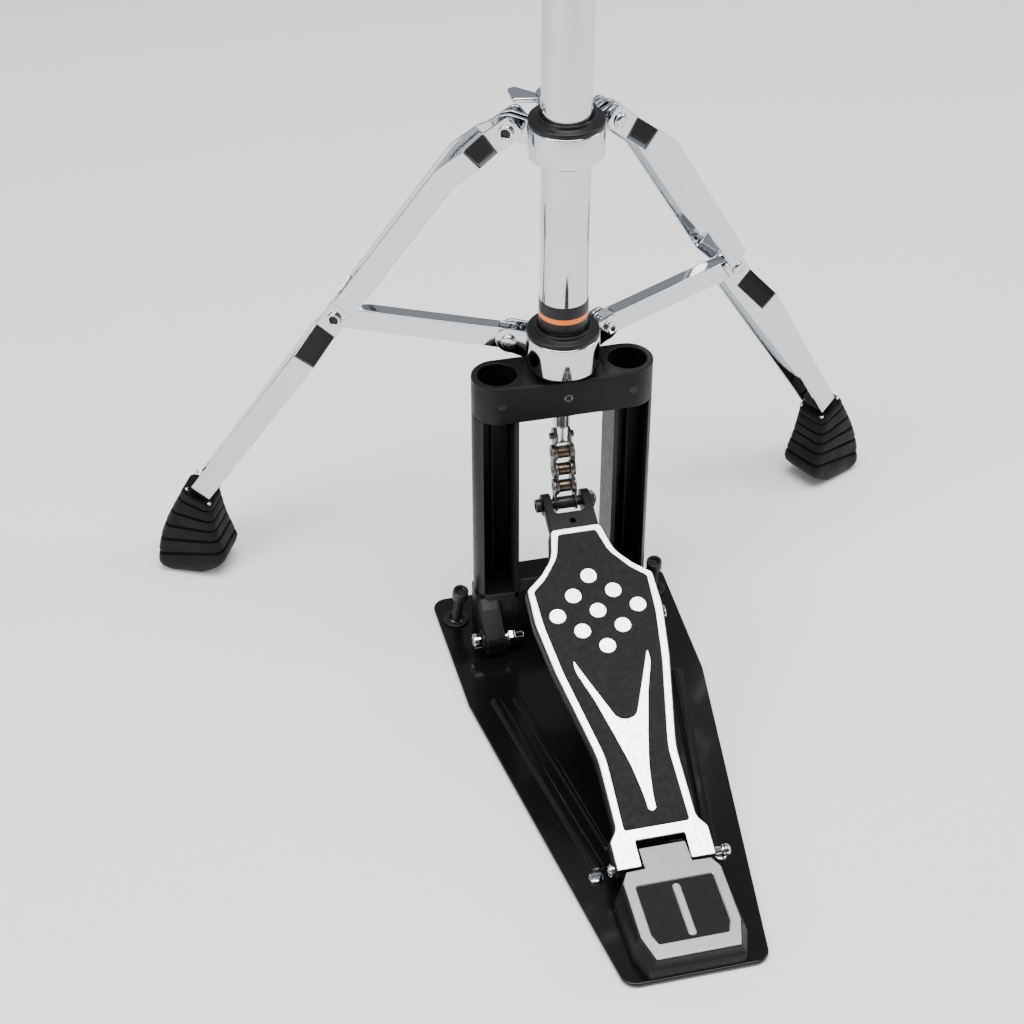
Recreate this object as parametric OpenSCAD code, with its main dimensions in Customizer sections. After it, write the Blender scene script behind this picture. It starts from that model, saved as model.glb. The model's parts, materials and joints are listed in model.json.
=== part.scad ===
// Two-legged hi-hat stand with a chain-driven pedal.
// The origin is on the floor under the tube axis. +X is the player's right and +Y points away
// from the player, so the footboard's heel is at -Y.

/* [Tube and rod] */
// Outer diameter of the main tube
tube_d = 28.6; // [28.4:0.1:28.8]
// Wall of the main tube
tube_wall = 1.5; // [1.2:0.1:2]
// Height of the top of the main tube
tube_top_z = 600; // [560:5:640]
// Outer diameter of the height tube
height_tube_d = 22.2; // [20:0.1:22.4]
// Height of the top of the height tube
height_tube_top_z = 752; // [720:1:790]
// Diameter of the upper pull rod
rod_d = 6; // [5:0.5:6.5]
// Diameter of the lower pull rod
lower_rod_d = 10; // [8:0.5:10.4]
// Height of the tip of the pull rod
rod_top_z = 985; // [960:1:1010]

/* [Bridge and uprights] */
// Height of the bridge's top face
bridge_top_z = 193.7; // [190:0.1:196]
// Height of the bridge's lower face
bridge_bottom_z = 168; // [164:1:172]
// Distance from the tube to the centre of each rounded end of the bridge
bridge_end_x = 39.3; // [38:0.1:41]
// Radius of the bridge's rounded ends
bridge_end_r = 15.6; // [15:0.1:17]
// Radius of the wells in the ends of the bridge
well_r = 11.5; // [9:0.1:12]
// Distance from the tube to an upright's inner face
upright_inner_x = 29; // [27:0.5:31]

/* [Base plate] */
// Thickness of the base plate
plate_t = 2.5; // [2:0.1:3]
// Thickness of the rubber pads under the base plate
pad_t = 1; // [0.8:0.1:1.2]
// Half width of the plate at the heel
plate_heel_w = 40.4; // [38:0.1:43]
// Half width of the plate at its widest point
plate_wide_w = 76.8; // [74:0.1:78]

/* [Footboard] */
// Slope of the footboard at rest
board_slope = 20.75; // [20:0.05:21.5]
// Thickness of the bright face plates
face_t = 1.2; // [1:0.1:1.5]
// Depth of the footboard casting
board_depth = 9; // [8:0.5:9.5]
// Diameter of the round grip inlays
dot_d = 10.4; // [9:0.1:11]

/* [Chain] */
// Diameter of the chain rollers
roller_d = 7.8; // [7:0.1:8]
// Height of a link plate
link_h = 10.2; // [9.4:0.1:10.6]

/* [Legs] */
// Angle of each leg behind the stand's side axis
leg_azimuth = 27; // [24:1:30]
// Width of the flat leg straps
strap_w = 13.8; // [13:0.1:14.2]
// Thickness of the leg straps
strap_t = 2; // [1.8:0.1:2.2]
// Distance from the tube axis to the top leg pivots
top_pivot_s = 31.5; // [31:0.1:32]
// Height of the top leg pivots
top_pivot_z = 347.1; // [346:0.1:348]
// Distance from the tube axis to the middle leg pivots
mid_pivot_s = 137; // [135:0.5:139]
// Height of the middle leg pivots
mid_pivot_z = 209.3; // [208:0.1:211]
// Height of the brace pivots on the lower collar
brace_pivot_z = 210.2; // [209:0.1:211]

/* [Hidden] */
$fn = 64;
fit = 0.05;
tube_r = tube_d / 2;
tube_inner_r = tube_r - tube_wall;
height_tube_r = height_tube_d / 2;
rod_r = rod_d / 2;
lower_rod_r = lower_rod_d / 2;
plate_bottom_z = pad_t;
plate_top_z = pad_t + plate_t;

guide_z = 164;
tube_bottom_z = 172;
spring_bottom_z = 178;
spring_top_z = 292;
rod_joint_z = 330;

board_heel_y = -240.5;
board_heel_z = 23.3;
hinge_y = -235;
hinge_z = 18.5;
hinge_pin_r = 2.7;
knuckle_r = 5;
notch_half_w = 14.4;
board_half_w = 28;
axle_v = 241.8;
axle_w = -8;
axle_y = -11.5;
axle_z = 101.5;
axle_r = 3;
ear_in = 9.5;
ear_out = 14.8;

heel_slope = 6.3;
heel_top_y = -229.8;
heel_top_z = 26.2;

chain_top_z = 144;
chain_links = 4;
chain_pitch = norm([axle_y, chain_top_z - axle_z]) / chain_links;
chain_tilt = atan2(-axle_y, chain_top_z - axle_z);
roller_r = roller_d / 2;

pivot_r = 3;
side_gap = 0.3;
top_bend_s = 64.8;
top_bend_z = 318.1;
top_slope = atan2(top_pivot_z - top_bend_z, top_bend_s - top_pivot_s);
top_run = norm([top_bend_s - top_pivot_s, top_pivot_z - top_bend_z]);
low_run = norm([mid_pivot_s - top_bend_s, top_bend_z - mid_pivot_z]);
leg_slope = atan2(top_bend_z - mid_pivot_z, mid_pivot_s - top_bend_s);
foot_run = 173;
brace_len = mid_pivot_s - 31;
brace_half_w = 4.2;
mid_n = brace_half_w + side_gap;
top_n = 7;
wide_n = 14.5;
spread_n = 19;
foot_n = 8;

band_r = 21.6;
sleeve_r = 17.5;
upper_band_z = 334;
upper_top_z = 356;
lower_band_z = 197;
lower_top_z = 221;

clamp_z = 575;
clamp_h = 40;
seat_z = height_tube_top_z;
tilt_screw_y = 19.6;
tilt_screw_r = 2.5;
clutch_z = 842;

// ---- helpers ----

// Points of a closed outline whose corner i is rounded with radius r[i].
function rounded(p, r, n = 6) = [
    for (i = [0 : len(p) - 1])
        let (
            c = p[i],
            a = p[(i + len(p) - 1) % len(p)] - c,
            b = p[(i + 1) % len(p)] - c,
            ua = a / norm(a),
            ub = b / norm(b),
            half = acos(max(-1, min(1, ua * ub))) / 2,
            m = (ua + ub) / norm(ua + ub),
            o = c + m * r[i] / sin(half),
            s = c + ua * r[i] / tan(half),
            e = c + ub * r[i] / tan(half),
            a0 = atan2(s[1] - o[1], s[0] - o[0]),
            a1 = atan2(e[1] - o[1], e[0] - o[0]),
            d = a1 - a0,
            turn = d > 180 ? d - 360 : d < -180 ? d + 360 : d
        )
        for (k = [0 : n])
            o + r[i] * [cos(a0 + turn * k / n), sin(a0 + turn * k / n)]
];

// A half outline on +X, closed with its mirror image.
function both(p) = concat(p, [for (i = [len(p) - 1 : -1 : 0]) [-p[i][0], p[i][1]]]);
function both_r(r) = concat(r, [for (i = [len(r) - 1 : -1 : 0]) r[i]]);
function wider(p, e) = [for (q = p) [q[0] + e, q[1]]];
function box_points(l, w) = [[l / 2, -w / 2], [l / 2, w / 2], [-l / 2, w / 2], [-l / 2, -w / 2]];

module rounded_plate(l, w, r, h) {
    linear_extrude(h)
        polygon(rounded(box_points(l, w), [r, r, r, r]));
}

module ring(outer, inner, h) {
    difference() {
        cylinder(r = outer, h = h);
        translate([0, 0, -1])
            cylinder(r = inner, h = h + 2);
    }
}

// A round bar along X, centred on the origin.
module bar_x(r, len) {
    rotate([0, 90, 0])
        cylinder(r = r, h = len, center = true);
}

// A round bar along Y from the origin.
module bar_y(r, len) {
    rotate([-90, 0, 0])
        cylinder(r = r, h = len);
}

// The footboard's own frame: X across, Y up the slope, Z out of its face.
module board_frame() {
    translate([0, board_heel_y, board_heel_z])
        rotate([board_slope, 0, 0])
            children();
}

// The heel plate's own frame: X across, Y away from the heel.
module heel_frame() {
    translate([0, heel_top_y, heel_top_z])
        rotate([heel_slope, 0, 0])
            children();
}

// A leg's own frame: X outwards, Y across the leg, Z up. side is 1 right, -1 left.
module leg_frame(side) {
    if (side > 0) {
        rotate([0, 0, leg_azimuth])
            children();
    } else {
        mirror([1, 0, 0])
            rotate([0, 0, leg_azimuth])
                children();
    }
}

// Screw with two lobes, along +X from its tip at the origin.
module wing_screw(shank, shank_r, hub = 9, lobe = 15) {
    rotate([0, 90, 0])
        cylinder(r = shank_r, h = shank);
    translate([shank, 0, 0])
        rotate([0, 90, 0])
            cylinder(r = 5, h = hub);
    for (side = [-1, 1])
        translate([shank + 3, side * 4, -1.6])
            linear_extrude(3.2)
                polygon(rounded([[0, 0], [hub - 4, 0], [hub + 6, side * (lobe - 5)],
                                 [hub + 5, side * lobe], [3, side * lobe]],
                                [0.5, 0.5, 1.5, 2, 2.5]));
}

// ---- base ----

plate_half = [[plate_heel_w, -303.6], [plate_wide_w - 2.4, -71], [plate_wide_w, 30.8],
              [28, 30.8], [10, 39.8]];

// A raised bead that narrows from w0 at its front end to w1 at its heel end.
module plate_bead(x0, y0, w0, x1, y1, w1) {
    run = norm([x1 - x0, y1 - y0]);
    r0 = 0.49 * w0;
    r1 = 0.49 * w1;
    translate([x0, y0, plate_top_z])
        rotate([0, 0, atan2(y1 - y0, x1 - x0)])
            linear_extrude(1.6)
                polygon(rounded([[-w0 / 2, -w0 / 2], [run + w1 / 2, -w1 / 2],
                                 [run + w1 / 2, w1 / 2], [-w0 / 2, w0 / 2]], [r0, r1, r1, r0]));
}

module base_plate() color([0.03, 0.03, 0.035]) {
    difference() {
        union() {
            translate([0, 0, plate_bottom_z])
                linear_extrude(plate_t)
                    polygon(rounded(both(plate_half), both_r([9, 14, 9, 8, 14])));
            for (side = [-1, 1]) {
                plate_bead(side * 56.8, -73, 8.5, side * 33.2, -217, 8.5);
                plate_bead(side * 44.8, -74, 6, side * 24, -205, 3.6);
            }
        }
        for (side = [-1, 1])
            translate([side * 65, 8.4, 0])
                cylinder(r = 4, h = 10);
    }
}

module base_pads() color([0.05, 0.05, 0.05]) {
    translate([-66, -9, 0])
        cube([132, 18, pad_t]);
    translate([-34, -298, 0])
        cube([68, 16, pad_t]);
}

heel_half = [[23.4, -72], [27.9, -56.5], [27.7, -20.6], [24.2, -14.2], [13.4, -13.8], [13.4, 0]];
heel_grip_half = [[19.7, -63.2], [22.3, -56.3], [22.2, -24.2]];

module heel_slot(r, h) {
    translate([0, -28.7, 0])
        cylinder(r = r, h = h);
    translate([0, -59.1, 0])
        cylinder(r = r, h = h);
    translate([-r, -59.1, 0])
        cube([2 * r, 30.4, h]);
}

module heel_block() color([0.04, 0.04, 0.042]) {
    difference() {
        union() {
            hull() {
                translate([0, 0, plate_top_z])
                    linear_extrude(7)
                        polygon(both([[27, -302.2], [32.2, -287], [32.2, -250], [28, -244.2]]));
                heel_frame()
                    translate([0, 0, -face_t - 1])
                        linear_extrude(1)
                            polygon(both([[24.2, -72.8], [28.9, -57], [28.7, -20.3], [25, -14.4]]));
            }
            translate([-13.3, -245, plate_top_z])
                cube([26.6, 10, 14]);
            heel_frame()
                translate([-13.3, -15, -face_t - 5])
                    cube([26.6, 10, 5]);
            translate([0, hinge_y, hinge_z])
                bar_x(knuckle_r, 26.6);
        }
        translate([0, hinge_y, hinge_z])
            bar_x(hinge_pin_r, 80);
    }
}

module heel_plate() color([0.72, 0.73, 0.72]) heel_frame() {
    difference() {
        translate([0, 0, -face_t])
            linear_extrude(face_t)
                polygon(rounded(both(heel_half), both_r([0.6, 1.5, 2, 0.6, 0.4, 1]), 3));
        translate([0, 0, -0.6])
            linear_extrude(2)
                polygon(rounded(both(heel_grip_half), both_r([1.5, 3, 1.5]), 3));
    }
    translate([0, 0, -0.6])
        heel_slot(2, 0.6);
}

module heel_grip() color([0.07, 0.07, 0.075]) heel_frame() {
    difference() {
        translate([0, 0, -0.6])
            linear_extrude(0.4)
                polygon(rounded(both(heel_grip_half), both_r([1.5, 3, 1.5]), 3));
        translate([0, 0, -1])
            heel_slot(2, 3);
    }
}

module plate_screws() color([0.5, 0.5, 0.5]) {
    for (side = [-1, 1])
        translate([side * 36, -225.6, plate_top_z])
            intersection() {
                cylinder(r = 4.2, h = 2.2);
                translate([0, 0, -3.8])
                    sphere(r = 6);
            }
}

module hinge_pin() color([0.85, 0.85, 0.86]) translate([0, hinge_y, hinge_z]) {
    translate([2, 0, 0])
        bar_x(hinge_pin_r, 68);
    translate([36, 0, 0])
        sphere(r = hinge_pin_r);
    translate([-30.5, 0, 0])
        bar_x(3.8, 1.2);
}

module spike(side) color([0.05, 0.05, 0.055])
    translate([side * 65, 8.4, 4])
        rotate([13.1, side * -3.8, 0]) {
            translate([0, 0, -2.4])
                cylinder(r = 3, h = 25);
            difference() {
                translate([0, 0, 22.6])
                    cylinder(r = 4.9, h = 7);
                translate([0, 0, 26])
                    cylinder(r = 2.6, h = 10, $fn = 6);
            }
        }

module left_spike() spike(-1);
module right_spike() spike(1);

module spike_nuts() color([0.06, 0.06, 0.065])
    for (side = [-1, 1])
        translate([side * 65, 8.4, plate_top_z])
            ring(8, 4.4, 1.6);

// ---- uprights and bridge ----

module stadium(r) {
    square([2 * bridge_end_x, 2 * r], center = true);
    for (side = [-1, 1])
        translate([side * bridge_end_x, 0])
            circle(r = r);
}

module upright() {
    difference() {
        union() {
            translate([0, 0, plate_top_z])
                linear_extrude(bridge_bottom_z - plate_top_z)
                    intersection() {
                        stadium(bridge_end_r);
                        translate([upright_inner_x, -bridge_end_r + 3])
                            square([40, 2 * bridge_end_r - 5]);
                    }
            // Flared foot that carries the clamping pin
            translate([42, 0, 0])
                rotate([90, 0, 90])
                    linear_extrude(13)
                        polygon(rounded([[10, plate_top_z], [10, 34], [-11, 34], [-17.5, 30],
                                         [-34, 17], [-34, 8], [-30, plate_top_z]],
                                        [0.5, 0.5, 2, 4, 4, 4, 0.5]));
        }
        // Open channel in the front face
        translate([upright_inner_x + 2.5, -20, 36])
            cube([19, 28, 200]);
        translate([48, -27.6, 14.8])
            bar_x(3.05, 40);
    }
    translate([upright_inner_x + 12, 3, 36])
        cube([1.8, 5, bridge_bottom_z - 36]);
}

module left_upright() color([0.05, 0.05, 0.055])
    mirror([1, 0, 0])
        upright();

module right_upright() color([0.05, 0.05, 0.055]) upright();

module base_crossbar() color([0.05, 0.05, 0.055])
    rotate([90, 0, 90])
        translate([0, 0, -upright_inner_x])
            linear_extrude(2 * upright_inner_x)
                polygon([[10, plate_top_z], [10, 43], [-8, 43], [-13, 38], [-15, 17], [-11, plate_top_z]]);

module upright_pins() color([0.85, 0.85, 0.86])
    for (side = [-1, 1])
        translate([side * 48, -27.6, 14.8]) {
            translate([side * -4, 0, 0])
                bar_x(3, 28);
            translate([side * 10.5, 0, 0])
                bar_x(4.8, 7);
            translate([side * -10, 0, 0])
                bar_x(4.2, 5);
        }

module bridge() color([0.055, 0.055, 0.06])
    difference() {
        union() {
            translate([0, 0, bridge_bottom_z])
                linear_extrude(bridge_top_z - bridge_bottom_z)
                    stadium(bridge_end_r);
            translate([0, 0, guide_z])
                cylinder(r = 10.5, h = 10);
        }
        translate([0, 0, bridge_top_z - 1])
            cylinder(r = 24, h = 3);
        translate([0, 0, tube_bottom_z])
            cylinder(r = tube_r, h = 40);
        translate([0, 0, guide_z - 1])
            cylinder(r = 8, h = 30);
        for (side = [-1, 1]) {
            translate([side * bridge_end_x, 0, bridge_bottom_z + 5])
                cylinder(r = well_r, h = 40);
            translate([side * bridge_end_x, 0, bridge_bottom_z - 5])
                cylinder(r = 3.2, h = 30);
            translate([side * bridge_end_x, -30, 180.6])
                bar_y(2.2, 20);
        }
        translate([0, -30, 181])
            bar_y(2.5, 20);
    }

module bridge_bolts() color([0.3, 0.3, 0.32]) {
    for (side = [-1, 1]) {
        translate([side * bridge_end_x, 0, bridge_bottom_z])
            cylinder(r = 3.2, h = 5);
        difference() {
            translate([side * bridge_end_x, 0, bridge_bottom_z + 5])
                cylinder(r = 6, h = 6);
            translate([side * bridge_end_x, 0, bridge_bottom_z + 8])
                cylinder(r = 2.6, h = 6, $fn = 6);
        }
        translate([side * bridge_end_x, -15.2, 180.6])
            bar_y(2.2, 4);
    }
    difference() {
        translate([0, -15.4, 181])
            bar_y(2.5, 1.05);
        translate([0, -17, 181])
            bar_y(1.2, 2.2);
    }
}

module main_tube() color([0.82, 0.83, 0.84])
    translate([0, 0, tube_bottom_z])
        ring(tube_r, tube_inner_r, tube_top_z - tube_bottom_z);

module tube_label() color([0.04, 0.04, 0.04])
    translate([0, 0, 224.2])
        ring(tube_r + 0.15, tube_r, 18);

// Bush in the bridge boss that guides the lower rod and seats the return spring
module rod_guide() color([0.08, 0.08, 0.08])
    difference() {
        union() {
            translate([0, 0, guide_z])
                cylinder(r = 8, h = tube_bottom_z - guide_z);
            translate([0, 0, tube_bottom_z])
                cylinder(r = tube_inner_r, h = spring_bottom_z - tube_bottom_z);
        }
        translate([0, 0, guide_z - 1])
            cylinder(r = lower_rod_r + fit, h = 30);
    }

module height_clamp() color([0.84, 0.85, 0.86])
    translate([0, 0, clamp_z])
        difference() {
            union() {
                cylinder(r = 20, h = clamp_h);
                translate([0, -8, 8])
                    cube([32, 16, 24]);
            }
            translate([0, 0, -1])
                cylinder(r = tube_r, h = tube_top_z - clamp_z + 1);
            translate([0, 0, tube_top_z - clamp_z - 0.01])
                cylinder(r = 15.5, h = 60);
            translate([14, -1.2, 4])
                cube([30, 2.4, 32]);
            translate([26, -30, 20])
                bar_y(3.55, 60);
        }

module clamp_bush() color([0.05, 0.05, 0.05])
    difference() {
        union() {
            translate([0, 0, tube_top_z])
                cylinder(r = 15.5, h = clamp_z + clamp_h - tube_top_z);
            translate([0, 0, tube_top_z - 28])
                cylinder(r = tube_inner_r, h = 28);
            translate([0, 0, clamp_z + clamp_h])
                cylinder(r = 18.5, h = 3);
        }
        translate([0, 0, tube_top_z - 30])
            cylinder(r = height_tube_r + fit, h = 60);
    }

module clamp_wing_bolt() color([0.85, 0.85, 0.86])
    translate([26, -8, clamp_z + 20])
        rotate([0, 0, 90])
            wing_screw(30, 3.5);

// ---- footboard ----

board_half = [[28, 0], [28, 17.2], [23, 24], [22.8, 68], [34.2, 126], [38.5, 158], [38.1, 181],
              [28, 189.3], [19.2, 200], [15.2, 218.8]];
board_radii = [0.8, 3, 10, 70, 90, 50, 3.5, 20, 22, 3.2];
grip_half = [[18.8, 22.4], [18.2, 68], [29.4, 124], [33.5, 155], [34.4, 179.2], [26.4, 186],
             [15.6, 200], [11.6, 215]];
grip_radii = [1.6, 60, 80, 50, 2, 18, 24, 2];

module board_outline(e = 0) {
    polygon(rounded(both(wider(board_half, e)), both_r(board_radii), 4));
}

module grip_outline() {
    polygon(rounded(both(grip_half), both_r(grip_radii), 4));
}

module chevron_outline() {
    polygon(rounded([[0, 30.2], [2.5, 32.6], [3, 42], [5.4, 60], [10, 79.5], [16.1, 103.5],
                     [23, 124], [22.6, 131.4], [21.2, 129.6], [14.4, 112.4], [5.6, 91],
                     [0, 88.7], [-5.6, 91], [-14.4, 112.4], [-21.2, 129.6], [-22.6, 131.4],
                     [-23, 124], [-16.1, 103.5], [-10, 79.5], [-5.4, 60], [-3, 42], [-2.5, 32.6]],
                    [2, 2, 40, 60, 80, 60, 20, 0.5, 3, 60, 6, 8, 6, 60, 3, 0.5, 20, 60, 80, 60, 40, 2],
                    3));
}

module footboard() color([0.05, 0.05, 0.055])
    difference() {
        union() {
            board_frame() {
                difference() {
                    translate([0, 0, -board_depth])
                        linear_extrude(board_depth - face_t)
                            board_outline(0.9);
                    // Hollow underside
                    translate([0, 0, -board_depth - 1])
                        linear_extrude(board_depth - 3.2)
                            difference() {
                                grip_outline();
                                translate([-1.2, 0])
                                    square([2.4, 220]);
                                for (v = [70, 130, 180])
                                    translate([-50, v])
                                        square([100, 2.4]);
                            }
                }
                // Neck and ears for the chain axle
                translate([-ear_out, 214, -board_depth])
                    cube([2 * ear_out, axle_v - 214, board_depth - face_t]);
                translate([0, axle_v, axle_w])
                    bar_x(6.8, 2 * ear_out);
            }
            translate([0, hinge_y, hinge_z])
                bar_x(knuckle_r, 2 * board_half_w);
        }
        board_frame() {
            translate([-ear_in, 231, -30])
                cube([2 * ear_in, 40, 60]);
            translate([0, axle_v, axle_w])
                bar_x(axle_r, 60);
            translate([0, 224.5, -20])
                cylinder(r = 1.6, h = 30);
        }
        translate([0, hinge_y, hinge_z])
            bar_x(hinge_pin_r + fit, 80);
        translate([-notch_half_w, hinge_y - 10, 0])
            cube([2 * notch_half_w, 16, 40]);
    }

module footboard_rim() color([0.9, 0.91, 0.92]) board_frame()
    translate([0, 0, -face_t])
        linear_extrude(face_t)
            difference() {
                board_outline();
                grip_outline();
                translate([-notch_half_w, -1])
                    square([2 * notch_half_w, 16.5]);
            }

dot_step_u = 12.18;
dot_step_v = 11.89;
dot_top_v = 184.7;

module inlays(h) {
    for (i = [0 : 2], j = [0 : 2])
        translate([(j - i) * dot_step_u, dot_top_v - (i + j) * dot_step_v, 0])
            cylinder(r = dot_d / 2, h = h);
    linear_extrude(h)
        chevron_outline();
}

module footboard_grip() color([0.08, 0.08, 0.085]) board_frame()
    difference() {
        translate([0, 0, -face_t])
            linear_extrude(0.9)
                grip_outline();
        translate([0, 0, -2])
            inlays(4);
    }

module footboard_inlays() color([0.9, 0.91, 0.92]) board_frame()
    translate([0, 0, -face_t])
        inlays(face_t);

module chain_axle() color([0.1, 0.1, 0.1]) board_frame()
    translate([0, axle_v, axle_w]) {
        translate([0.5, 0, 0])
            bar_x(axle_r, 37);
        translate([-16.8, 0, 0])
            bar_x(4.2, 4);
        bar_x(roller_r, 10.4);
    }

module axle_nut() color([0.85, 0.85, 0.86]) board_frame()
    translate([0, axle_v, axle_w])
        difference() {
            translate([16.3, 0, 0])
                rotate([0, 90, 0])
                    cylinder(r = 5.2, h = 3, center = true, $fn = 6);
            bar_x(axle_r, 60);
        }

// ---- pull rod ----

module lower_rod() color([0.8, 0.81, 0.82])
    difference() {
        union() {
            translate([0, 0, chain_top_z + 8])
                cylinder(r = lower_rod_r, h = rod_joint_z - chain_top_z - 8);
            intersection() {
                translate([0, 0, chain_top_z - 5.2])
                    cylinder(r = lower_rod_r, h = 13.2);
                translate([-3.6, -10, chain_top_z - 10])
                    cube([7.2, 20, 30]);
                union() {
                    translate([0, 0, chain_top_z])
                        bar_x(5.2, 20);
                    translate([-10, -5.2, chain_top_z])
                        cube([20, 10.4, 20]);
                }
            }
        }
        translate([0, 0, chain_top_z])
            bar_x(2 + fit, 20);
        translate([0, 0, rod_joint_z - 22])
            cylinder(r = rod_r, h = 30);
    }

module upper_rod() color([0.8, 0.81, 0.82])
    translate([0, 0, rod_joint_z - 22]) {
        cylinder(r = rod_r, h = rod_top_z - rod_joint_z + 21);
        translate([0, 0, rod_top_z - rod_joint_z + 21])
            cylinder(r1 = rod_r, r2 = rod_r - 1, h = 1);
    }

module spring_nut() color([0.75, 0.7, 0.5])
    translate([0, 0, spring_top_z])
        ring(9.5, lower_rod_r, 8);

// The return spring's envelope, as stacked coils joined by a thin sleeve
module return_spring() color([0.6, 0.6, 0.62])
    translate([0, 0, spring_bottom_z])
        difference() {
            cylinder(r = 8.6, h = spring_top_z - spring_bottom_z);
            translate([0, 0, -1])
                cylinder(r = 6.6, h = spring_top_z - spring_bottom_z + 2);
            for (i = [0 : 17])
                translate([0, 0, 5 + i * 6.1])
                    ring(10, 7.6, 3.4);
        }

// ---- chain ----

module chain_frame() {
    translate([0, 0, chain_top_z])
        rotate([-chain_tilt, 0, 0])
            children();
}

// One link plate hanging from the origin, as thick as t, with its near face at x.
module link_plate(x, t, low_hole) {
    rotate([90, 0, 90])
        translate([0, 0, x])
            linear_extrude(t)
                difference() {
                    union() {
                        circle(r = link_h / 2);
                        translate([0, -chain_pitch])
                            circle(r = link_h / 2);
                        translate([-3.1, -chain_pitch])
                            square([6.2, chain_pitch]);
                    }
                    circle(r = 2);
                    translate([0, -chain_pitch])
                        circle(r = low_hole);
                }
}

module chain_plates() color([0.22, 0.2, 0.19]) chain_frame()
    for (i = [0 : chain_links - 1], side = [-1, 1])
        translate([0, 0, -i * chain_pitch])
            link_plate(i % 2 == 0 ? (side > 0 ? 3.9 : -5.3) : (side > 0 ? 5.5 : -6.9), 1.4,
                       i == chain_links - 1 ? axle_r + 1.3 : 2);

module chain_rollers() color([0.35, 0.28, 0.22]) chain_frame()
    for (i = [1 : chain_links - 1])
        translate([0, 0, -i * chain_pitch])
            difference() {
                bar_x(roller_r, 7.6);
                bar_x(2, 20);
            }

module chain_pins() color([0.3, 0.3, 0.3]) chain_frame()
    for (i = [0 : chain_links - 1])
        translate([0, 0, -i * chain_pitch])
            bar_x(2, 15.4);

// ---- collars ----

// Plastic sleeve with a flange and a raised lip around the tube
module sleeve(z0, z1) {
    difference() {
        union() {
            translate([0, 0, z0])
                cylinder(r = sleeve_r, h = z1 - z0);
            translate([0, 0, z1 - 3])
                cylinder(r = band_r - 0.3, h = 3);
            translate([0, 0, z1])
                cylinder(r = 16.4, h = 2.4);
        }
        translate([0, 0, z0 - 1])
            cylinder(r = tube_r + fit, h = z1 - z0 + 10);
    }
}

// One lug plate in a leg frame: a bar from the band to a rounded eye at the pivot.
module lug_plate(n0, t, pivot_s, pivot_z, eye_r, z_low, z_high) {
    translate([0, n0 + t, 0])
        rotate([90, 0, 0])
            linear_extrude(t)
                difference() {
                    union() {
                        translate([pivot_s, pivot_z])
                            circle(r = eye_r);
                        polygon([[band_r - 1.2, z_low], [pivot_s + 2, pivot_z - eye_r + 0.4],
                                 [pivot_s + 2, pivot_z + eye_r - 0.4], [band_r - 1.2, z_high]]);
                    }
                    translate([pivot_s, pivot_z])
                        circle(r = pivot_r);
                }
}

module band(z0, z1) {
    translate([0, 0, z0])
        ring(band_r, sleeve_r, z1 - z0);
}

module lower_sleeve() color([0.04, 0.04, 0.042]) sleeve(lower_band_z - 2, lower_top_z);

module lower_band() color([0.84, 0.85, 0.86]) {
    band(lower_band_z, lower_top_z - 3);
    for (leg = [-1, 1], side = [-1, 1])
        leg_frame(leg)
            lug_plate(side > 0 ? mid_n : -mid_n - strap_t, strap_t, 31, brace_pivot_z, 8,
                      200, 217.6);
}

module brace_bolts() color([0.8, 0.8, 0.8])
    for (leg = [-1, 1])
        leg_frame(leg)
            translate([31, 0, brace_pivot_z]) {
                translate([0, -mid_n - strap_t, 0])
                    bar_y(pivot_r, 2 * (mid_n + strap_t));
                for (side = [-1, 1])
                    translate([0, side > 0 ? mid_n + strap_t : -mid_n - strap_t - 2.2, 0])
                        bar_y(4.4, 2.2);
            }

// Channel-section brace from the lower collar to the middle pivot, at rest along X. Its web is on
// top and it is open underneath.
module brace() {
    drop = brace_pivot_z - mid_pivot_z;
    translate([31, 0, brace_pivot_z])
        rotate([0, atan2(drop, brace_len), 0])
            difference() {
                union() {
                    translate([0, -brace_half_w, 0])
                        bar_y(6.8, 2 * brace_half_w);
                    translate([brace_len, -brace_half_w, 0])
                        bar_y(6.8, 2 * brace_half_w);
                    translate([0, -brace_half_w, -6.8])
                        cube([brace_len, 2 * brace_half_w, 13.6]);
                }
                translate([9, -brace_half_w + 1.6, -14.8])
                    cube([brace_len - 18, 2 * (brace_half_w - 1.6), 20]);
                for (x = [0, brace_len])
                    translate([x, -10, 0])
                        bar_y(pivot_r + fit, 20);
            }
}

module left_brace() color([0.83, 0.84, 0.85]) leg_frame(-1) brace();
module right_brace() color([0.83, 0.84, 0.85]) leg_frame(1) brace();

module upper_sleeve() color([0.04, 0.04, 0.042]) sleeve(upper_band_z, upper_top_z);

module upper_band() color([0.84, 0.85, 0.86])
    difference() {
        union() {
            band(upper_band_z, upper_top_z - 3);
            for (leg = [-1, 1], side = [-1, 1])
                leg_frame(leg)
                    lug_plate(side > 0 ? 1.2 : -3.6, 2.4, top_pivot_s, top_pivot_z, 8,
                              338, 352.6);
            for (leg = [-1, 1], side = [-1, 1])
                leg_frame(leg)
                    translate([top_pivot_s, side > 0 ? 3.6 : -top_n + side_gap, top_pivot_z])
                        difference() {
                            bar_y(5.4, top_n - side_gap - 3.6);
                            bar_y(pivot_r, 10);
                        }
            translate([-9, sleeve_r + 1, 336])
                cube([18, 14, 15]);
        }
        translate([0, 0, 300])
            cylinder(r = sleeve_r, h = 80);
        translate([0, 10, 343.5])
            bar_y(3.05, 40);
    }

module leg_bolts() color([0.8, 0.8, 0.8])
    for (leg = [-1, 1])
        leg_frame(leg)
            translate([top_pivot_s, 0, top_pivot_z]) {
                translate([0, -top_n - strap_t - 0.3, 0])
                    bar_y(pivot_r, 2 * (top_n + strap_t + 0.3));
                for (side = [-1, 1])
                    translate([0, side > 0 ? top_n + strap_t + 0.3 : -top_n - strap_t - 2.3, 0])
                        bar_y(4.6, 2);
            }

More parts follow.
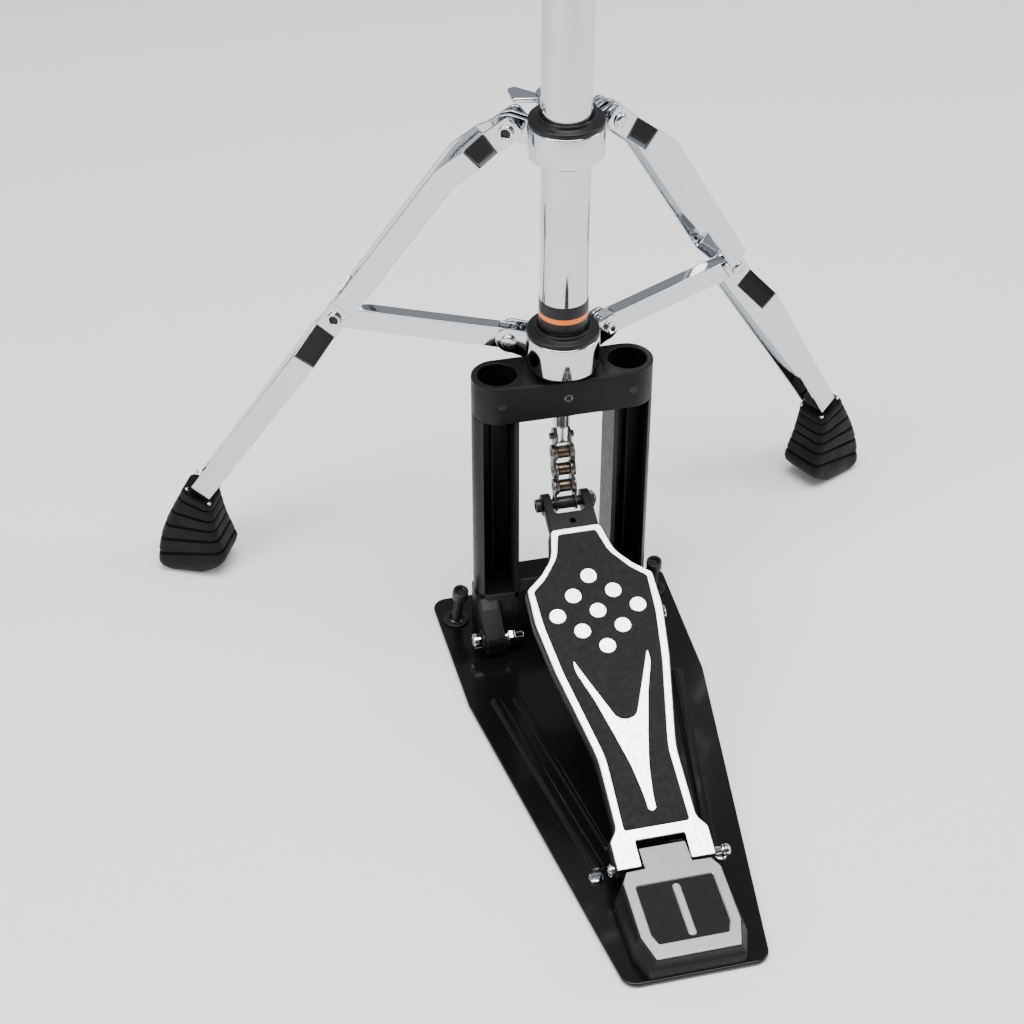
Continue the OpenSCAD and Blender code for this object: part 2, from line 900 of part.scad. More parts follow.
module collar_wing_bolt() color([0.84, 0.85, 0.86])
    translate([0, sleeve_r + 0.3, 343.5])
        rotate([0, 0, 90])
            wing_screw(24, 3, 12);

// ---- legs ----

// Unit vectors along and across a run that slopes down at angle a, seen from the side.
function along(a) = [cos(a), -sin(a)];
function across(a) = [sin(a), cos(a)];

// Where the flat stretch round the bend begins and ends, on each run. It is a hair larger than the
// runs that it joins.
flat_start = 24;
flat_end = low_run - 17;
overlap = 1.5;
lip = 0.02;
flat_half_w = strap_w / 2 + lip;
flat_top = [top_pivot_s, top_pivot_z] + (flat_start + overlap) * along(top_slope);
flat_low = [top_bend_s, top_bend_z] + (flat_end - overlap) * along(leg_slope);
bend_across = across((leg_slope + top_slope) / 2) / cos((leg_slope - top_slope) / 2);

// A band in the (run, n) plane, given the points of its inner face.
module strap_run(points) {
    translate([0, 0, -strap_w / 2])
        linear_extrude(strap_w)
            polygon(concat([for (p = points) [p[0], p[1] + strap_t]],
                           [for (i = [len(points) - 1 : -1 : 0]) points[i]]));
}

// The part of a strap from above the middle pivot to its end in the foot.
module lower_run() {
    translate([top_bend_s, 0, top_bend_z])
        rotate([0, leg_slope, 0])
            strap_run([[flat_end - 2 * overlap, wide_n], [flat_end, wide_n],
                       [low_run - 10, mid_n], [low_run + 11, mid_n], [low_run + 29, spread_n],
                       [low_run + foot_run, foot_n]]);
}

// One strap at +n, in the leg frame. Its pinched places lie flat at the pivots.
module strap() {
    difference() {
        union() {
            intersection() {
                translate([top_pivot_s, 0, top_pivot_z])
                    rotate([0, top_slope, 0])
                        strap_run([[-8, top_n], [12, top_n], [flat_start, wide_n],
                                   [flat_start + 2 * overlap, wide_n]]);
                union() {
                    translate([top_pivot_s, -20, top_pivot_z])
                        bar_y(strap_w / 2 + 1, 40);
                    translate([top_pivot_s, -20, top_pivot_z])
                        rotate([0, top_slope, 0])
                            translate([0, 0, -20])
                                cube([80, 40, 40]);
                }
            }
            translate([0, wide_n + strap_t + lip, 0])
                rotate([90, 0, 0])
                    linear_extrude(strap_t + 2 * lip)
                        polygon([flat_top + flat_half_w * across(top_slope),
                                 flat_top - flat_half_w * across(top_slope),
                                 [top_bend_s, top_bend_z] - flat_half_w * bend_across,
                                 flat_low - flat_half_w * across(leg_slope),
                                 flat_low + flat_half_w * across(leg_slope),
                                 [top_bend_s, top_bend_z] + flat_half_w * bend_across]);
            lower_run();
        }
        translate([top_pivot_s, -5, top_pivot_z])
            bar_y(pivot_r + fit, 40);
        translate([mid_pivot_s, -5, mid_pivot_z])
            bar_y(pivot_r, 40);
    }
}

module front_strap() {
    mirror([0, 1, 0])
        strap();
}

module left_front_strap() color([0.84, 0.85, 0.86]) leg_frame(-1) front_strap();
module left_rear_strap() color([0.84, 0.85, 0.86]) leg_frame(-1) strap();
module right_front_strap() color([0.84, 0.85, 0.86]) leg_frame(1) front_strap();
module right_rear_strap() color([0.84, 0.85, 0.86]) leg_frame(1) strap();

module mid_bolts(leg) color([0.8, 0.8, 0.8])
    leg_frame(leg)
        for (side = [-1, 1])
            translate([mid_pivot_s, side > 0 ? mid_n : -mid_n - strap_t, mid_pivot_z]) {
                bar_y(pivot_r, strap_t);
                translate([0, side > 0 ? strap_t : -2.2, 0])
                    bar_y(4.4, 2.2);
            }

module left_mid_bolts() mid_bolts(-1);
module right_mid_bolts() mid_bolts(1);

// Inner and outer end of each tier of the boot, from the floor up, as [distance out, height],
// then each tier's width across the leg and the side view of the rocking sole.
boot_in = [[219, 17], [221, 26], [223.5, 33.5], [224.5, 40], [225.5, 47], [226.5, 54.5]];
boot_out = [[266, 8], [265, 20], [261.5, 32.5], [257, 43.5], [251.5, 54], [246, 64.5]];
boot_w = [32, 30.5, 29, 27.5, 26, 24.5];
sole = [[266, 10], [220, 19], [219, 13], [228, 5], [238, 1.4], [249, 0], [260, 1.6], [266, 6]];

// A slice of the boot between two inner and outer ends, from low to high about its middle.
module boot_slice(inner, outer, w, low, high) {
    middle = (inner + outer) / 2;
    run = outer - inner;
    translate([middle[0], 0, middle[1]])
        rotate([0, -atan2(run[1], run[0]), 0])
            translate([0, 0, low])
                rounded_plate(norm(run), w, 5, high - low);
}

// Ribbed rubber boot: tiers fan from the rocking sole up to the end of the leg.
module boot() {
    difference() {
        union() {
            for (i = [0 : 5])
                boot_slice(boot_in[i], boot_out[i], boot_w[i], -2.6, 2.6);
            for (i = [0 : 4])
                boot_slice((boot_in[i] + boot_in[i + 1]) / 2 + [1.5, 0],
                           (boot_out[i] + boot_out[i + 1]) / 2 - [1.5, 0],
                           (boot_w[i] + boot_w[i + 1]) / 2 - 3, -6, 6);
            translate([0, boot_w[0] / 2, 0])
                rotate([90, 0, 0])
                    linear_extrude(boot_w[0])
                        polygon(sole);
            translate([233.4, 0, 64])
                rotate([0, leg_slope - 90, 0])
                    translate([0, 0, -4])
                        rounded_plate(12, 15.8, 2, 11);
        }
        for (side = [0, 1])
            mirror([0, side, 0])
                lower_run();
    }
}

module left_foot() color([0.04, 0.04, 0.042]) leg_frame(-1) boot();
module right_foot() color([0.04, 0.04, 0.042]) leg_frame(1) boot();

// ---- height tube, seat and clutch ----

module height_tube() color([0.82, 0.83, 0.84]) {
    translate([0, 0, 480])
        ring(height_tube_r, height_tube_r - 1.5, seat_z - 480);
    translate([0, 0, seat_z - 14])
        ring(15, height_tube_r, 14);
    translate([0, 0, seat_z])
        ring(15, 7, 3);
    // Lug for the tilt screw
    difference() {
        translate([-4.5, 12.5, seat_z - 12])
            cube([9, 12, 10]);
        translate([0, tilt_screw_y, seat_z - 20])
            cylinder(r = tilt_screw_r + fit, h = 30);
    }
}

module seat_cup() color([0.05, 0.05, 0.055])
    translate([0, 0, seat_z + 3.4]) {
        ring(26, 6, 3);
        ring(11, 6, 6);
        translate([0, 0, 6])
            ring(8, 6, 14);
    }

module seat_felt() color([0.55, 0.55, 0.53])
    translate([0, 0, seat_z + 3.4 + 6])
        ring(19, 8, 9);

module tilt_screw() color([0.85, 0.85, 0.86])
    translate([0, tilt_screw_y, seat_z - 22]) {
        cylinder(r = tilt_screw_r, h = 24.9);
        translate([0, 0, -7])
            cylinder(r = 6, h = 7);
    }

module clutch_body() color([0.84, 0.85, 0.86])
    translate([0, 0, clutch_z])
        difference() {
            union() {
                cylinder(r = 5.5, h = 44);
                translate([0, 0, 40])
                    cylinder(r = 11, h = 22);
            }
            translate([0, 0, -1])
                cylinder(r = rod_r + fit, h = 80);
            translate([0, 0, 51])
                rotate([0, 90, 0])
                    cylinder(r = 3, h = 20);
        }

module clutch_felts() color([0.55, 0.55, 0.53])
    translate([0, 0, clutch_z]) {
        translate([0, 0, 8])
            ring(17, 5.5, 8);
        translate([0, 0, 16.4])
            ring(17, 5.5, 8);
    }

module clutch_nuts() color([0.82, 0.83, 0.84])
    translate([0, 0, clutch_z]) {
        translate([0, 0, 2])
            ring(12, 5.5, 6);
        translate([0, 0, 24.4])
            ring(11, 5.5, 5);
        translate([0, 0, 30])
            ring(11, 5.5, 5);
    }

module clutch_wing_bolt() color([0.85, 0.85, 0.86])
    translate([rod_r + 0.3, 0, clutch_z + 51])
        wing_screw(12, 2.95, 9, 12);

base_plate();
base_pads();
heel_block();
heel_plate();
heel_grip();
plate_screws();
hinge_pin();
left_upright();
right_upright();
base_crossbar();
upright_pins();
bridge();
bridge_bolts();
main_tube();
tube_label();
rod_guide();
height_clamp();
clamp_bush();
left_spike();
right_spike();
spike_nuts();
footboard();
footboard_rim();
footboard_grip();
footboard_inlays();
chain_axle();
axle_nut();
lower_rod();
upper_rod();
spring_nut();
return_spring();
chain_plates();
chain_rollers();
chain_pins();
lower_sleeve();
lower_band();
brace_bolts();
left_brace();
right_brace();
upper_sleeve();
upper_band();
leg_bolts();
collar_wing_bolt();
left_front_strap();
left_rear_strap();
left_foot();
left_mid_bolts();
right_front_strap();
right_rear_strap();
right_foot();
right_mid_bolts();
height_tube();
clamp_wing_bolt();
seat_cup();
seat_felt();
tilt_screw();
clutch_body();
clutch_felts();
clutch_nuts();
clutch_wing_bolt();
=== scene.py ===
"""Looks of a two-legged hi-hat stand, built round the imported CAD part.

Shapes are worked out in millimetres in the part's own frame: the origin is on the floor under the
tube axis, +X is the player's right, +Y points away from the player and Z is up.
"""

import bpy
import bmesh
import json
import math
from mathutils import Matrix, Vector
from mathutils.geometry import tessellate_polygon


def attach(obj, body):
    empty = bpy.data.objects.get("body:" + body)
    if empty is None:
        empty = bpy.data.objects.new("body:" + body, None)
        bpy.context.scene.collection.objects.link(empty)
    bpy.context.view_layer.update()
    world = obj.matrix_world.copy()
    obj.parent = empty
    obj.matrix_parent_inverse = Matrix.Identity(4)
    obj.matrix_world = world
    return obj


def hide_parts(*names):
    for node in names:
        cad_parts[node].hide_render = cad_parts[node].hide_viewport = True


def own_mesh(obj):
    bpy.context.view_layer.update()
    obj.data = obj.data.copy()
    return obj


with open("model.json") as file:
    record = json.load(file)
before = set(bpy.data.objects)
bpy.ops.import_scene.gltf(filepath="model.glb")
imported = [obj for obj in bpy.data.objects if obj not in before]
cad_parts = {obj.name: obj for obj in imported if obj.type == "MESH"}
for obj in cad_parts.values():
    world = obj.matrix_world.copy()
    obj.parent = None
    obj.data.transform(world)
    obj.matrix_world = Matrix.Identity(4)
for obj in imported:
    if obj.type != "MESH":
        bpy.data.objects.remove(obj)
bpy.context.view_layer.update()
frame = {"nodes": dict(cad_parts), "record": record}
MM = 0.001

# ---- driving sizes, in millimetres ----

TUBE_R = 14.3
TUBE_INNER_R = 12.8
TUBE_BOTTOM = 172
TUBE_TOP = 600
LABEL_LOW, LABEL_HIGH = 224.2, 242.2
HEIGHT_TUBE_R = 11.1
SEAT_Z = 752
TILT_SCREW_Y = 19.6
ROD_R = 3
ROD_TOP = 985
LOWER_ROD_R = 5
BRIDGE_TOP = 193.7
BRIDGE_BOTTOM = 168
BRIDGE_END_X = 39.3
BRIDGE_END_R = 15.6
WELL_R = 11.5
UPRIGHT_IN = 29
PLATE_LOW = 1
PLATE_TOP = 3.5
SPIKE_X, SPIKE_Y = 65, 8.4
KEY_X, KEY_Y, KEY_Z = 48, -27.6, 14.8
BOARD_SLOPE = 20.75
HEEL_SLOPE = 6.3
FACE = 1.2
BOARD_DEPTH = 9
HINGE = (0, -235, 18.5)
AXLE_V = 241.8
AXLE_W = -8
NOTCH = 14.4
CHAIN_TOP = 144
CHAIN_LINKS = 4
AXLE_Y, AXLE_Z = -11.5, 101.5
CHAIN_PITCH = math.hypot(AXLE_Y, CHAIN_TOP - AXLE_Z) / CHAIN_LINKS
CHAIN_TILT = math.degrees(math.atan2(-AXLE_Y, CHAIN_TOP - AXLE_Z))
LEG_AZIMUTH = 27
STRAP_W = 13.8
STRAP_T = 2
TOP_PIVOT = (31.5, 347.1)
BEND = (64.8, 318.1)
MID_PIVOT = (137, 209.3)
BRACE_PIVOT = (31, 210.2)
TOP_N, MID_N, WIDE_N, SPREAD_N, FOOT_N = 7, 4.5, 14.5, 19, 8
FOOT_RUN = 173
BAND_R = 21.6
SLEEVE_R = 17.5
LOWER_SLEEVE = (195, 221)
UPPER_SLEEVE = (334, 356)
LUG_EYE_R = 8
WING_Z = 343.5
CLAMP_Z = 575
CLUTCH_Z = 842

# ---- placing ----


def at(x=0, y=0, z=0):
    return Matrix.Translation((x, y, z))


def turn(degrees, axis):
    return Matrix.Rotation(math.radians(degrees), 4, axis)


BOARD = at(0, -240.5, 23.3) @ turn(BOARD_SLOPE, "X")
HEEL = at(0, -229.8, 26.2) @ turn(HEEL_SLOPE, "X")
CHAIN = at(0, 0, CHAIN_TOP) @ turn(-CHAIN_TILT, "X")
MIRROR = Matrix.Scale(-1, 4, (1, 0, 0))
LEG = {"right": turn(LEG_AZIMUTH, "Z"), "left": MIRROR @ turn(LEG_AZIMUTH, "Z")}
Z_TO_X = turn(90, "Y")
Z_TO_Y = turn(-90, "X")
# A shape drawn in (Y, Z) and thickened along X, and one drawn in (X, Z) and thickened along -Y.
FACING_X = Matrix(((0, 0, 1, 0), (1, 0, 0, 0), (0, 1, 0, 0), (0, 0, 0, 1)))
FACING_Y = Matrix(((1, 0, 0, 0), (0, 0, -1, 0), (0, 1, 0, 0), (0, 0, 0, 1)))

# ---- outlines ----


def rounded(points, radii, steps=6):
    """A closed outline whose corner i is rounded with radius radii[i]."""
    out = []
    for i, corner in enumerate(points):
        c = Vector(corner)
        ua = (Vector(points[i - 1]) - c).normalized()
        ub = (Vector(points[(i + 1) % len(points)]) - c).normalized()
        half = math.acos(max(-1, min(1, ua.dot(ub)))) / 2
        if radii[i] < 0.01 or half > math.pi / 2 - 0.001:
            out.append(c)
            continue
        centre = c + (ua + ub).normalized() * radii[i] / math.sin(half)
        first = c + ua * radii[i] / math.tan(half) - centre
        last = c + ub * radii[i] / math.tan(half) - centre
        a0 = math.atan2(first.y, first.x)
        sweep = math.atan2(last.y, last.x) - a0
        sweep = (sweep + math.pi) % (2 * math.pi) - math.pi
        for k in range(steps + 1):
            a = a0 + sweep * k / steps
            out.append(centre + radii[i] * Vector((math.cos(a), math.sin(a))))
    return out


def mirrored(half):
    """A half outline on +X, closed with its mirror image."""
    return list(half) + [(-x, y) for x, y in reversed(half)]


def both(radii):
    return list(radii) + list(reversed(radii))


def circle(r, x=0, y=0, n=48):
    return [Vector((x + r * math.cos(2 * math.pi * k / n), y + r * math.sin(2 * math.pi * k / n)))
            for k in range(n)]


def polar(r, share, z):
    """The point at radius r and height z, at that share of a full turn round Z."""
    a = 2 * math.pi * share
    return Vector((r * math.cos(a), r * math.sin(a), z))


def arc(r, start, end, x=0, y=0, n=16):
    out = []
    for k in range(n + 1):
        a = math.radians(start + (end - start) * k / n)
        out.append(Vector((x + r * math.cos(a), y + r * math.sin(a))))
    return out


def stadium(half, r, x=0, y=0):
    return arc(r, -90, 90, x + half, y) + arc(r, 90, 270, x - half, y)


def box_outline(width, height, r, x=0, y=0):
    w, h = width / 2, height / 2
    corners = [(x + w, y - h), (x + w, y + h), (x - w, y + h), (x - w, y - h)]
    return rounded(corners, [r] * 4, 4)


def ccw(loop):
    area = sum(a[0] * b[1] - b[0] * a[1] for a, b in zip(loop, loop[1:] + loop[:1]))
    return [Vector(p) for p in (loop if area > 0 else reversed(loop))]


def grown(loop, d):
    """A counterclockwise loop moved outwards by d, or inwards where d is negative."""
    out = []
    for i, b in enumerate(loop):
        u = (b - loop[i - 1])
        v = (loop[(i + 1) % len(loop)] - b)
        u = u.normalized() if u.length > 1e-6 else v.normalized()
        v = v.normalized() if v.length > 1e-6 else u
        nu, nv = Vector((u.y, -u.x)), Vector((v.y, -v.x))
        out.append(b + (nu + nv) * d / max(0.35, 1 + nu.dot(nv)))
    return out


# ---- closed shells: (points, faces, which faces are flat caps) ----


def level(loop, z):
    return [Vector((p.x, p.y, z)) for p in loop]


def skin(rings, caps=(), closed=True):
    """Faces between rings of equal length, and flat caps over the given lists of ring indices."""
    points, faces, flat = [], [], set()
    starts = []
    for group in rings:
        group_starts = []
        for ring in group:
            group_starts.append(len(points))
            points.extend(ring)
        starts.append(group_starts)
        n = len(group[0])
        for a, b in zip(group_starts, group_starts[1:]):
            for k in range(n if closed else n - 1):
                j = (k + 1) % n
                faces.append((a + k, a + j, b + j, b + k))
    for cap in caps:
        loops = [rings[g][r] for g, r in cap]
        index = [starts[g][r] + k for g, r in cap for k in range(len(rings[g][r]))]
        for t in tessellate_polygon(loops):
            flat.add(len(faces))
            faces.append(tuple(index[k] for k in t))
    return points, faces, flat


def edge_profile(z0, z1, e, steps=3):
    """(inset, z) pairs up a wall whose two edges are rounded by e."""
    low, high = [], []
    for k in range(steps + 1):
        a = math.pi / 2 * k / steps
        low.append((e * (1 - math.sin(a)), z0 + e * (1 - math.cos(a))))
        high.append((e * (1 - math.cos(a)), z1 - e * (1 - math.sin(a))))
    return low + high


def slab(outline, z0, z1, edge=0.3, holes=(), pockets=(), under=(), steps=3):
    """A plate with rounded edges, through holes, and blind pockets (loop, floor) in its top or underside."""
    outer = ccw(list(outline))
    profile = edge_profile(z0, z1, edge, steps)
    rings = [[level(grown(outer, -d), z) for d, z in profile]]
    top, bottom = [(0, len(profile) - 1)], [(0, 0)]
    caps = []
    for hole in holes:
        loop = ccw(list(hole))
        rings.append([level(grown(loop, d), z) for d, z in profile])
        top.append((len(rings) - 1, len(profile) - 1))
        bottom.append((len(rings) - 1, 0))
    for loop, floor in pockets:
        loop = ccw(list(loop))
        rings.append([level(grown(loop, edge), z1), level(loop, z1 - edge), level(loop, floor)])
        top.append((len(rings) - 1, 0))
        caps.append([(len(rings) - 1, 2)])
    for loop, floor in under:
        loop = ccw(list(loop))
        rings.append([level(grown(loop, edge), z0), level(loop, z0 + edge), level(loop, floor)])
        bottom.append((len(rings) - 1, 0))
        caps.append([(len(rings) - 1, 2)])
    return skin(rings, [top, bottom] + caps)


def ridge(outline, z0, height, inset, steps=5):
    """A pressed bead: the outline rises to height while it draws in by inset."""
    outer = ccw(list(outline))
    rings = []
    for k in range(steps + 1):
        a = math.pi / 2 * k / steps
        rings.append(level(grown(outer, -inset * (1 - math.cos(a))), z0 + height * math.sin(a)))
    return skin([rings], [[(0, steps)], [(0, 0)]])


def loft(rings):
    return skin([rings], [[(0, 0)], [(0, len(rings) - 1)]])


def lathe(profile, n=48, ridges=0, depth=0):
    """A solid of revolution about Z from (radius, z) pairs, with ridges of that depth round it if asked."""
    rings, ends = [], []
    for r, z in profile:
        cut = depth if ridges and r > 0.5 and z > profile[0][1] else 0
        rings.append([polar(r - cut * (k % 2), k / n, z) for k in range(n)])
    first, last = profile[0][0] > 0.001, profile[-1][0] > 0.001
    if not first:
        ends.append((0, profile[0][1]))
        rings = rings[1:]
    if not last:
        ends.append((len(rings) - 1, profile[-1][1]))
        rings = rings[:-1]
    caps = ([[(0, 0)]] if first else []) + ([[(0, len(rings) - 1)]] if last else [])
    points, faces, flat = skin([rings], caps)
    for which, z in ends:
        tip = len(points)
        points.append(Vector((0, 0, z)))
        base = 0 if which == 0 and not first and z == profile[0][1] else (len(rings) - 1) * n
        for k in range(n):
            faces.append((tip, base + k, base + (k + 1) % n))
    return points, faces, flat


def spun(profile, n):
    """A closed section of (radius, z) pairs carried once round Z."""
    rings = [[polar(r, k / n, z) for r, z in profile] for k in range(n)]
    return skin([rings + [rings[0]]])


def tube(outer, inner, z0, z1, e=0.3, n=64):
    """A ring or pipe with rounded rims."""
    wall = edge_profile(z0, z1, e, 3)
    return spun([(outer - d, z) for d, z in wall] + [(inner + d, z) for d, z in reversed(wall)], n)


def pin(r, z0, z1, e=0.4, n=40):
    """A round bar with rounded ends."""
    return lathe([(r - d, z) for d, z in edge_profile(z0, z1, e, 3)], n)


def dome(r, z0, height, n=40, steps=7):
    """A low domed rivet or screw head that stands on z0."""
    profile = [(r, z0)]
    for k in range(steps + 1):
        a = math.pi / 2 * k / steps
        profile.append((r * math.cos(a), z0 + height * (0.25 + 0.75 * math.sin(a))))
    profile[-1] = (0, z0 + height)
    return lathe(profile, n)


def hexagon(across_corners, turned=0):
    return arc(across_corners, turned, turned + 300, n=5)


def nut(r, z0, z1, bore):
    return slab(hexagon(r), z0, z1, 0.35, holes=[circle(bore, n=32)])


def thread(r, z0, z1, pitch=1.25, depth=0.55, n=28, cone=0):
    """A threaded bar: the radius follows a true helix. cone is the length of a pointed lower end."""
    steps = int((z1 - z0) / pitch * 6)
    rings = []
    for i in range(steps + 1):
        z = z0 + (z1 - z0) * i / steps
        ring = []
        for k in range(n):
            phase = (z / pitch - k / n) % 1
            q = r - depth * abs(2 * phase - 1)
            if cone and z < z0 + cone:
                q *= 0.25 + 0.75 * (z - z0) / cone
            ring.append(polar(q, k / n, z))
        rings.append(ring)
    return loft(rings)


def placed(shell, matrix):
    points, faces, flat = shell
    return [matrix @ p for p in points], faces, flat


def all_placed(shells, matrix):
    return [placed(s, matrix) for s in shells]


def filleted(points, radii, steps=6):
    """A 3-D path whose inner corner i is rounded with radius radii[i - 1]."""
    out = [Vector(points[0])]
    for i in range(1, len(points) - 1):
        c = Vector(points[i])
        ua = (Vector(points[i - 1]) - c).normalized()
        ub = (Vector(points[i + 1]) - c).normalized()
        half = math.acos(max(-1, min(1, ua.dot(ub)))) / 2
        reach = radii[i - 1] / math.tan(half)
        centre = c + (ua + ub).normalized() * radii[i - 1] / math.sin(half)
        a, b = c + ua * reach - centre, c + ub * reach - centre
        angle = a.angle(b)
        for k in range(steps + 1):
            t = k / steps
            w0, w1 = math.sin((1 - t) * angle), math.sin(t * angle)
            out.append(centre + (a * w0 + b * w1) / math.sin(angle))
    out.append(Vector(points[-1]))
    return out


def strip_metal(path, width, thick, edge, nose=0):
    """A flat bar along a path in (s, n, z). Its width stays in the plane of s and z.

    nose is the length over which the first end is rounded.
    """
    section = ccw(box_outline(width, thick, edge))
    rings, run = [], 0
    for i, p in enumerate(path):
        tangent = (path[min(i + 1, len(path) - 1)] - path[max(i - 1, 0)]).normalized()
        across = Vector((-tangent.z, 0, tangent.x)).normalized()
        out = tangent.cross(across).normalized()
        run += (p - path[i - 1]).length if i else 0
        share = 1
        if run < nose:
            share = 1 - (1 - math.sqrt(max(0, 1 - (1 - run / nose) ** 2))) * 0.42
        rings.append([p + across * q.x * share + out * q.y for q in section])
    return loft(rings)


def coil(r, wire, z0, z1, turns, n=10, per_turn=24):
    """A helical spring."""
    rings = []
    for i in range(turns * per_turn + 1):
        a = 2 * math.pi * i / per_turn
        out = Vector((math.cos(a), math.sin(a), 0))
        centre = out * r + Vector((0, 0, z0 + (z1 - z0) * i / (turns * per_turn)))
        rings.append([centre + out * wire * math.cos(2 * math.pi * k / n)
                      + Vector((0, 0, wire * math.sin(2 * math.pi * k / n))) for k in range(n)])
    return loft(rings)


# ---- materials ----


class Finish:
    """A node material on one Principled shader, with its places read from the piece itself."""

    def __init__(self, name, colour, metallic=0.0, roughness=0.5, **sockets):
        self.mat = bpy.data.materials.new(name)
        self.mat.use_nodes = True
        self.nodes, self.links = self.mat.node_tree.nodes, self.mat.node_tree.links
        self.shader = self.nodes["Principled BSDF"]
        self.coords = self.nodes.new("ShaderNodeTexCoord").outputs["Object"]
        self.colour = colour
        self.shader.inputs["Base Color"].default_value = (*colour, 1)
        self.shader.inputs["Metallic"].default_value = metallic
        self.shader.inputs["Roughness"].default_value = roughness
        for key, value in sockets.items():
            self.shader.inputs[key.replace("_", " ")].default_value = value
        self.height = None

    def noise(self, scale, detail=4, stretch=(1, 1, 1), turned=(0, 0, 0)):
        mapping = self.nodes.new("ShaderNodeMapping")
        mapping.inputs["Scale"].default_value = stretch
        mapping.inputs["Rotation"].default_value = [math.radians(a) for a in turned]
        self.links.new(self.coords, mapping.inputs["Vector"])
        tex = self.nodes.new("ShaderNodeTexNoise")
        tex.inputs["Scale"].default_value = scale
        tex.inputs["Detail"].default_value = detail
        self.links.new(mapping.outputs["Vector"], tex.inputs["Vector"])
        return tex.outputs["Fac"]

    def cells(self, scale):
        tex = self.nodes.new("ShaderNodeTexVoronoi")
        tex.inputs["Scale"].default_value = scale
        self.links.new(self.coords, tex.inputs["Vector"])
        return tex.outputs["Distance"]

    def spread(self, source, low, high, start=0.3, end=0.7):
        """Maps a 0 to 1 value, between start and end, to low and high."""
        node = self.nodes.new("ShaderNodeMapRange")
        node.inputs["From Min"].default_value = start
        node.inputs["From Max"].default_value = end
        node.inputs["To Min"].default_value = low
        node.inputs["To Max"].default_value = high
        self.links.new(source, node.inputs["Value"])
        return node.outputs["Result"]

    def rough(self, source, low, high, start=0.3, end=0.7):
        self.links.new(self.spread(source, low, high, start, end), self.shader.inputs["Roughness"])
        return self

    def tint(self, source, colour, start=0.4, end=0.7):
        """Mixes another colour over what is there, by source."""
        mix = self.nodes.new("ShaderNodeMix")
        mix.data_type = "RGBA"
        under = self.shader.inputs["Base Color"]
        if under.links:
            self.links.new(under.links[0].from_socket, mix.inputs["A"])
        else:
            mix.inputs["A"].default_value = (*self.colour, 1)
        mix.inputs["B"].default_value = (*colour, 1)
        self.links.new(self.spread(source, 0, 1, start, end), mix.inputs["Factor"])
        self.links.new(mix.outputs["Result"], self.shader.inputs["Base Color"])
        return self

    def edge_wear_and_highlight(self, colour, start=0.52, end=0.6):
        """Lightens the convex edges, found by pointiness, to another colour: partly rubbed wear, partly a
        painted edge highlight.
        """
        return self.tint(self.nodes.new("ShaderNodeNewGeometry").outputs["Pointiness"], colour, start, end)

    def bump(self, source, depth_mm, strength=0.5):
        node = self.nodes.new("ShaderNodeBump")
        node.inputs["Strength"].default_value = strength
        node.inputs["Distance"].default_value = depth_mm * MM
        self.links.new(source, node.inputs["Height"])
        if self.height:
            self.links.new(self.height, node.inputs["Normal"])
        self.height = node.outputs["Normal"]
        self.links.new(self.height, self.shader.inputs["Normal"])
        return self

    def height_along(self, axis):
        split = self.nodes.new("ShaderNodeSeparateXYZ")
        self.links.new(self.coords, split.inputs["Vector"])
        return split.outputs[axis]


def gloss_black():
    f = Finish("gloss_black_enamel", (0.003, 0.003, 0.0033), 0.0, 0.2, Specular_IOR_Level=0.22,
               Coat_Weight=0.12, Coat_Roughness=0.06)
    f.rough(f.noise(420, 3), 0.17, 0.24)
    f.tint(f.noise(1400, 2), (0.008, 0.008, 0.009), 0.6, 0.75)
    # Painted highlight: the convex edges and bead crests are lighter than the black enamel.
    f.edge_wear_and_highlight((0.02, 0.02, 0.021))
    return f.bump(f.noise(700, 2), 0.015, 0.12).mat


def satin_black():
    f = Finish("satin_black_casting", (0.003, 0.003, 0.0032), 0.0, 0.4, Specular_IOR_Level=0.16)
    f.rough(f.noise(220, 4), 0.35, 0.46)
    f.tint(f.noise(60, 5), (0.0048, 0.0048, 0.0052), 0.45, 0.7)
    # Painted highlight: the convex edges are lighter than the black casting paint.
    f.edge_wear_and_highlight((0.016, 0.016, 0.016))
    return f.bump(f.noise(1600, 3), 0.05, 0.3).mat


def chrome():
    f = Finish("chrome_plate", (0.61, 0.625, 0.637), 1.0, 0.07)
    f.rough(f.noise(35, 5), 0.045, 0.1)
    f.tint(f.noise(12, 3), (0.55, 0.57, 0.585), 0.5, 0.8)
    return f.bump(f.noise(45, 2), 0.05, 0.04).mat


def rod_steel():
    f = Finish("bright_rod_steel", (0.82, 0.83, 0.84), 1.0, 0.2)
    f.rough(f.noise(400, 3, (1, 1, 0.05)), 0.14, 0.3)
    return f.bump(f.noise(900, 2, (1, 1, 0.03)), 0.02, 0.2).mat


def face_silver():
    f = Finish("brushed_aluminium", (0.92, 0.925, 0.93), 1.0, 0.3)
    grain = f.noise(700, 5, (1, 0.05, 1), (0, 0, 38))
    f.rough(grain, 0.24, 0.42)
    f.tint(f.noise(500, 4, (1, 0.06, 1), (0, 0, 38)), (0.8, 0.81, 0.82), 0.5, 0.72)
    return f.bump(grain, 0.02, 0.25).mat


def heel_silver():
    f = Finish("brushed_steel", (0.57, 0.58, 0.575), 1.0, 0.36)
    grain = f.noise(1800, 4, (1, 0.1, 1), (0, 0, 52))
    f.rough(grain, 0.32, 0.42)
    f.tint(grain, (0.51, 0.52, 0.515), 0.5, 0.75)
    return f.bump(grain, 0.015, 0.2).mat


def grip():
    f = Finish("charcoal_grip", (0.006, 0.006, 0.0064), 0.0, 0.62, Specular_IOR_Level=0.16)
    f.rough(f.noise(300, 4), 0.55, 0.72)
    f.tint(f.noise(1500, 2), (0.011, 0.011, 0.0115), 0.5, 0.75)
    return f.bump(f.cells(2400), 0.1, 0.5).mat


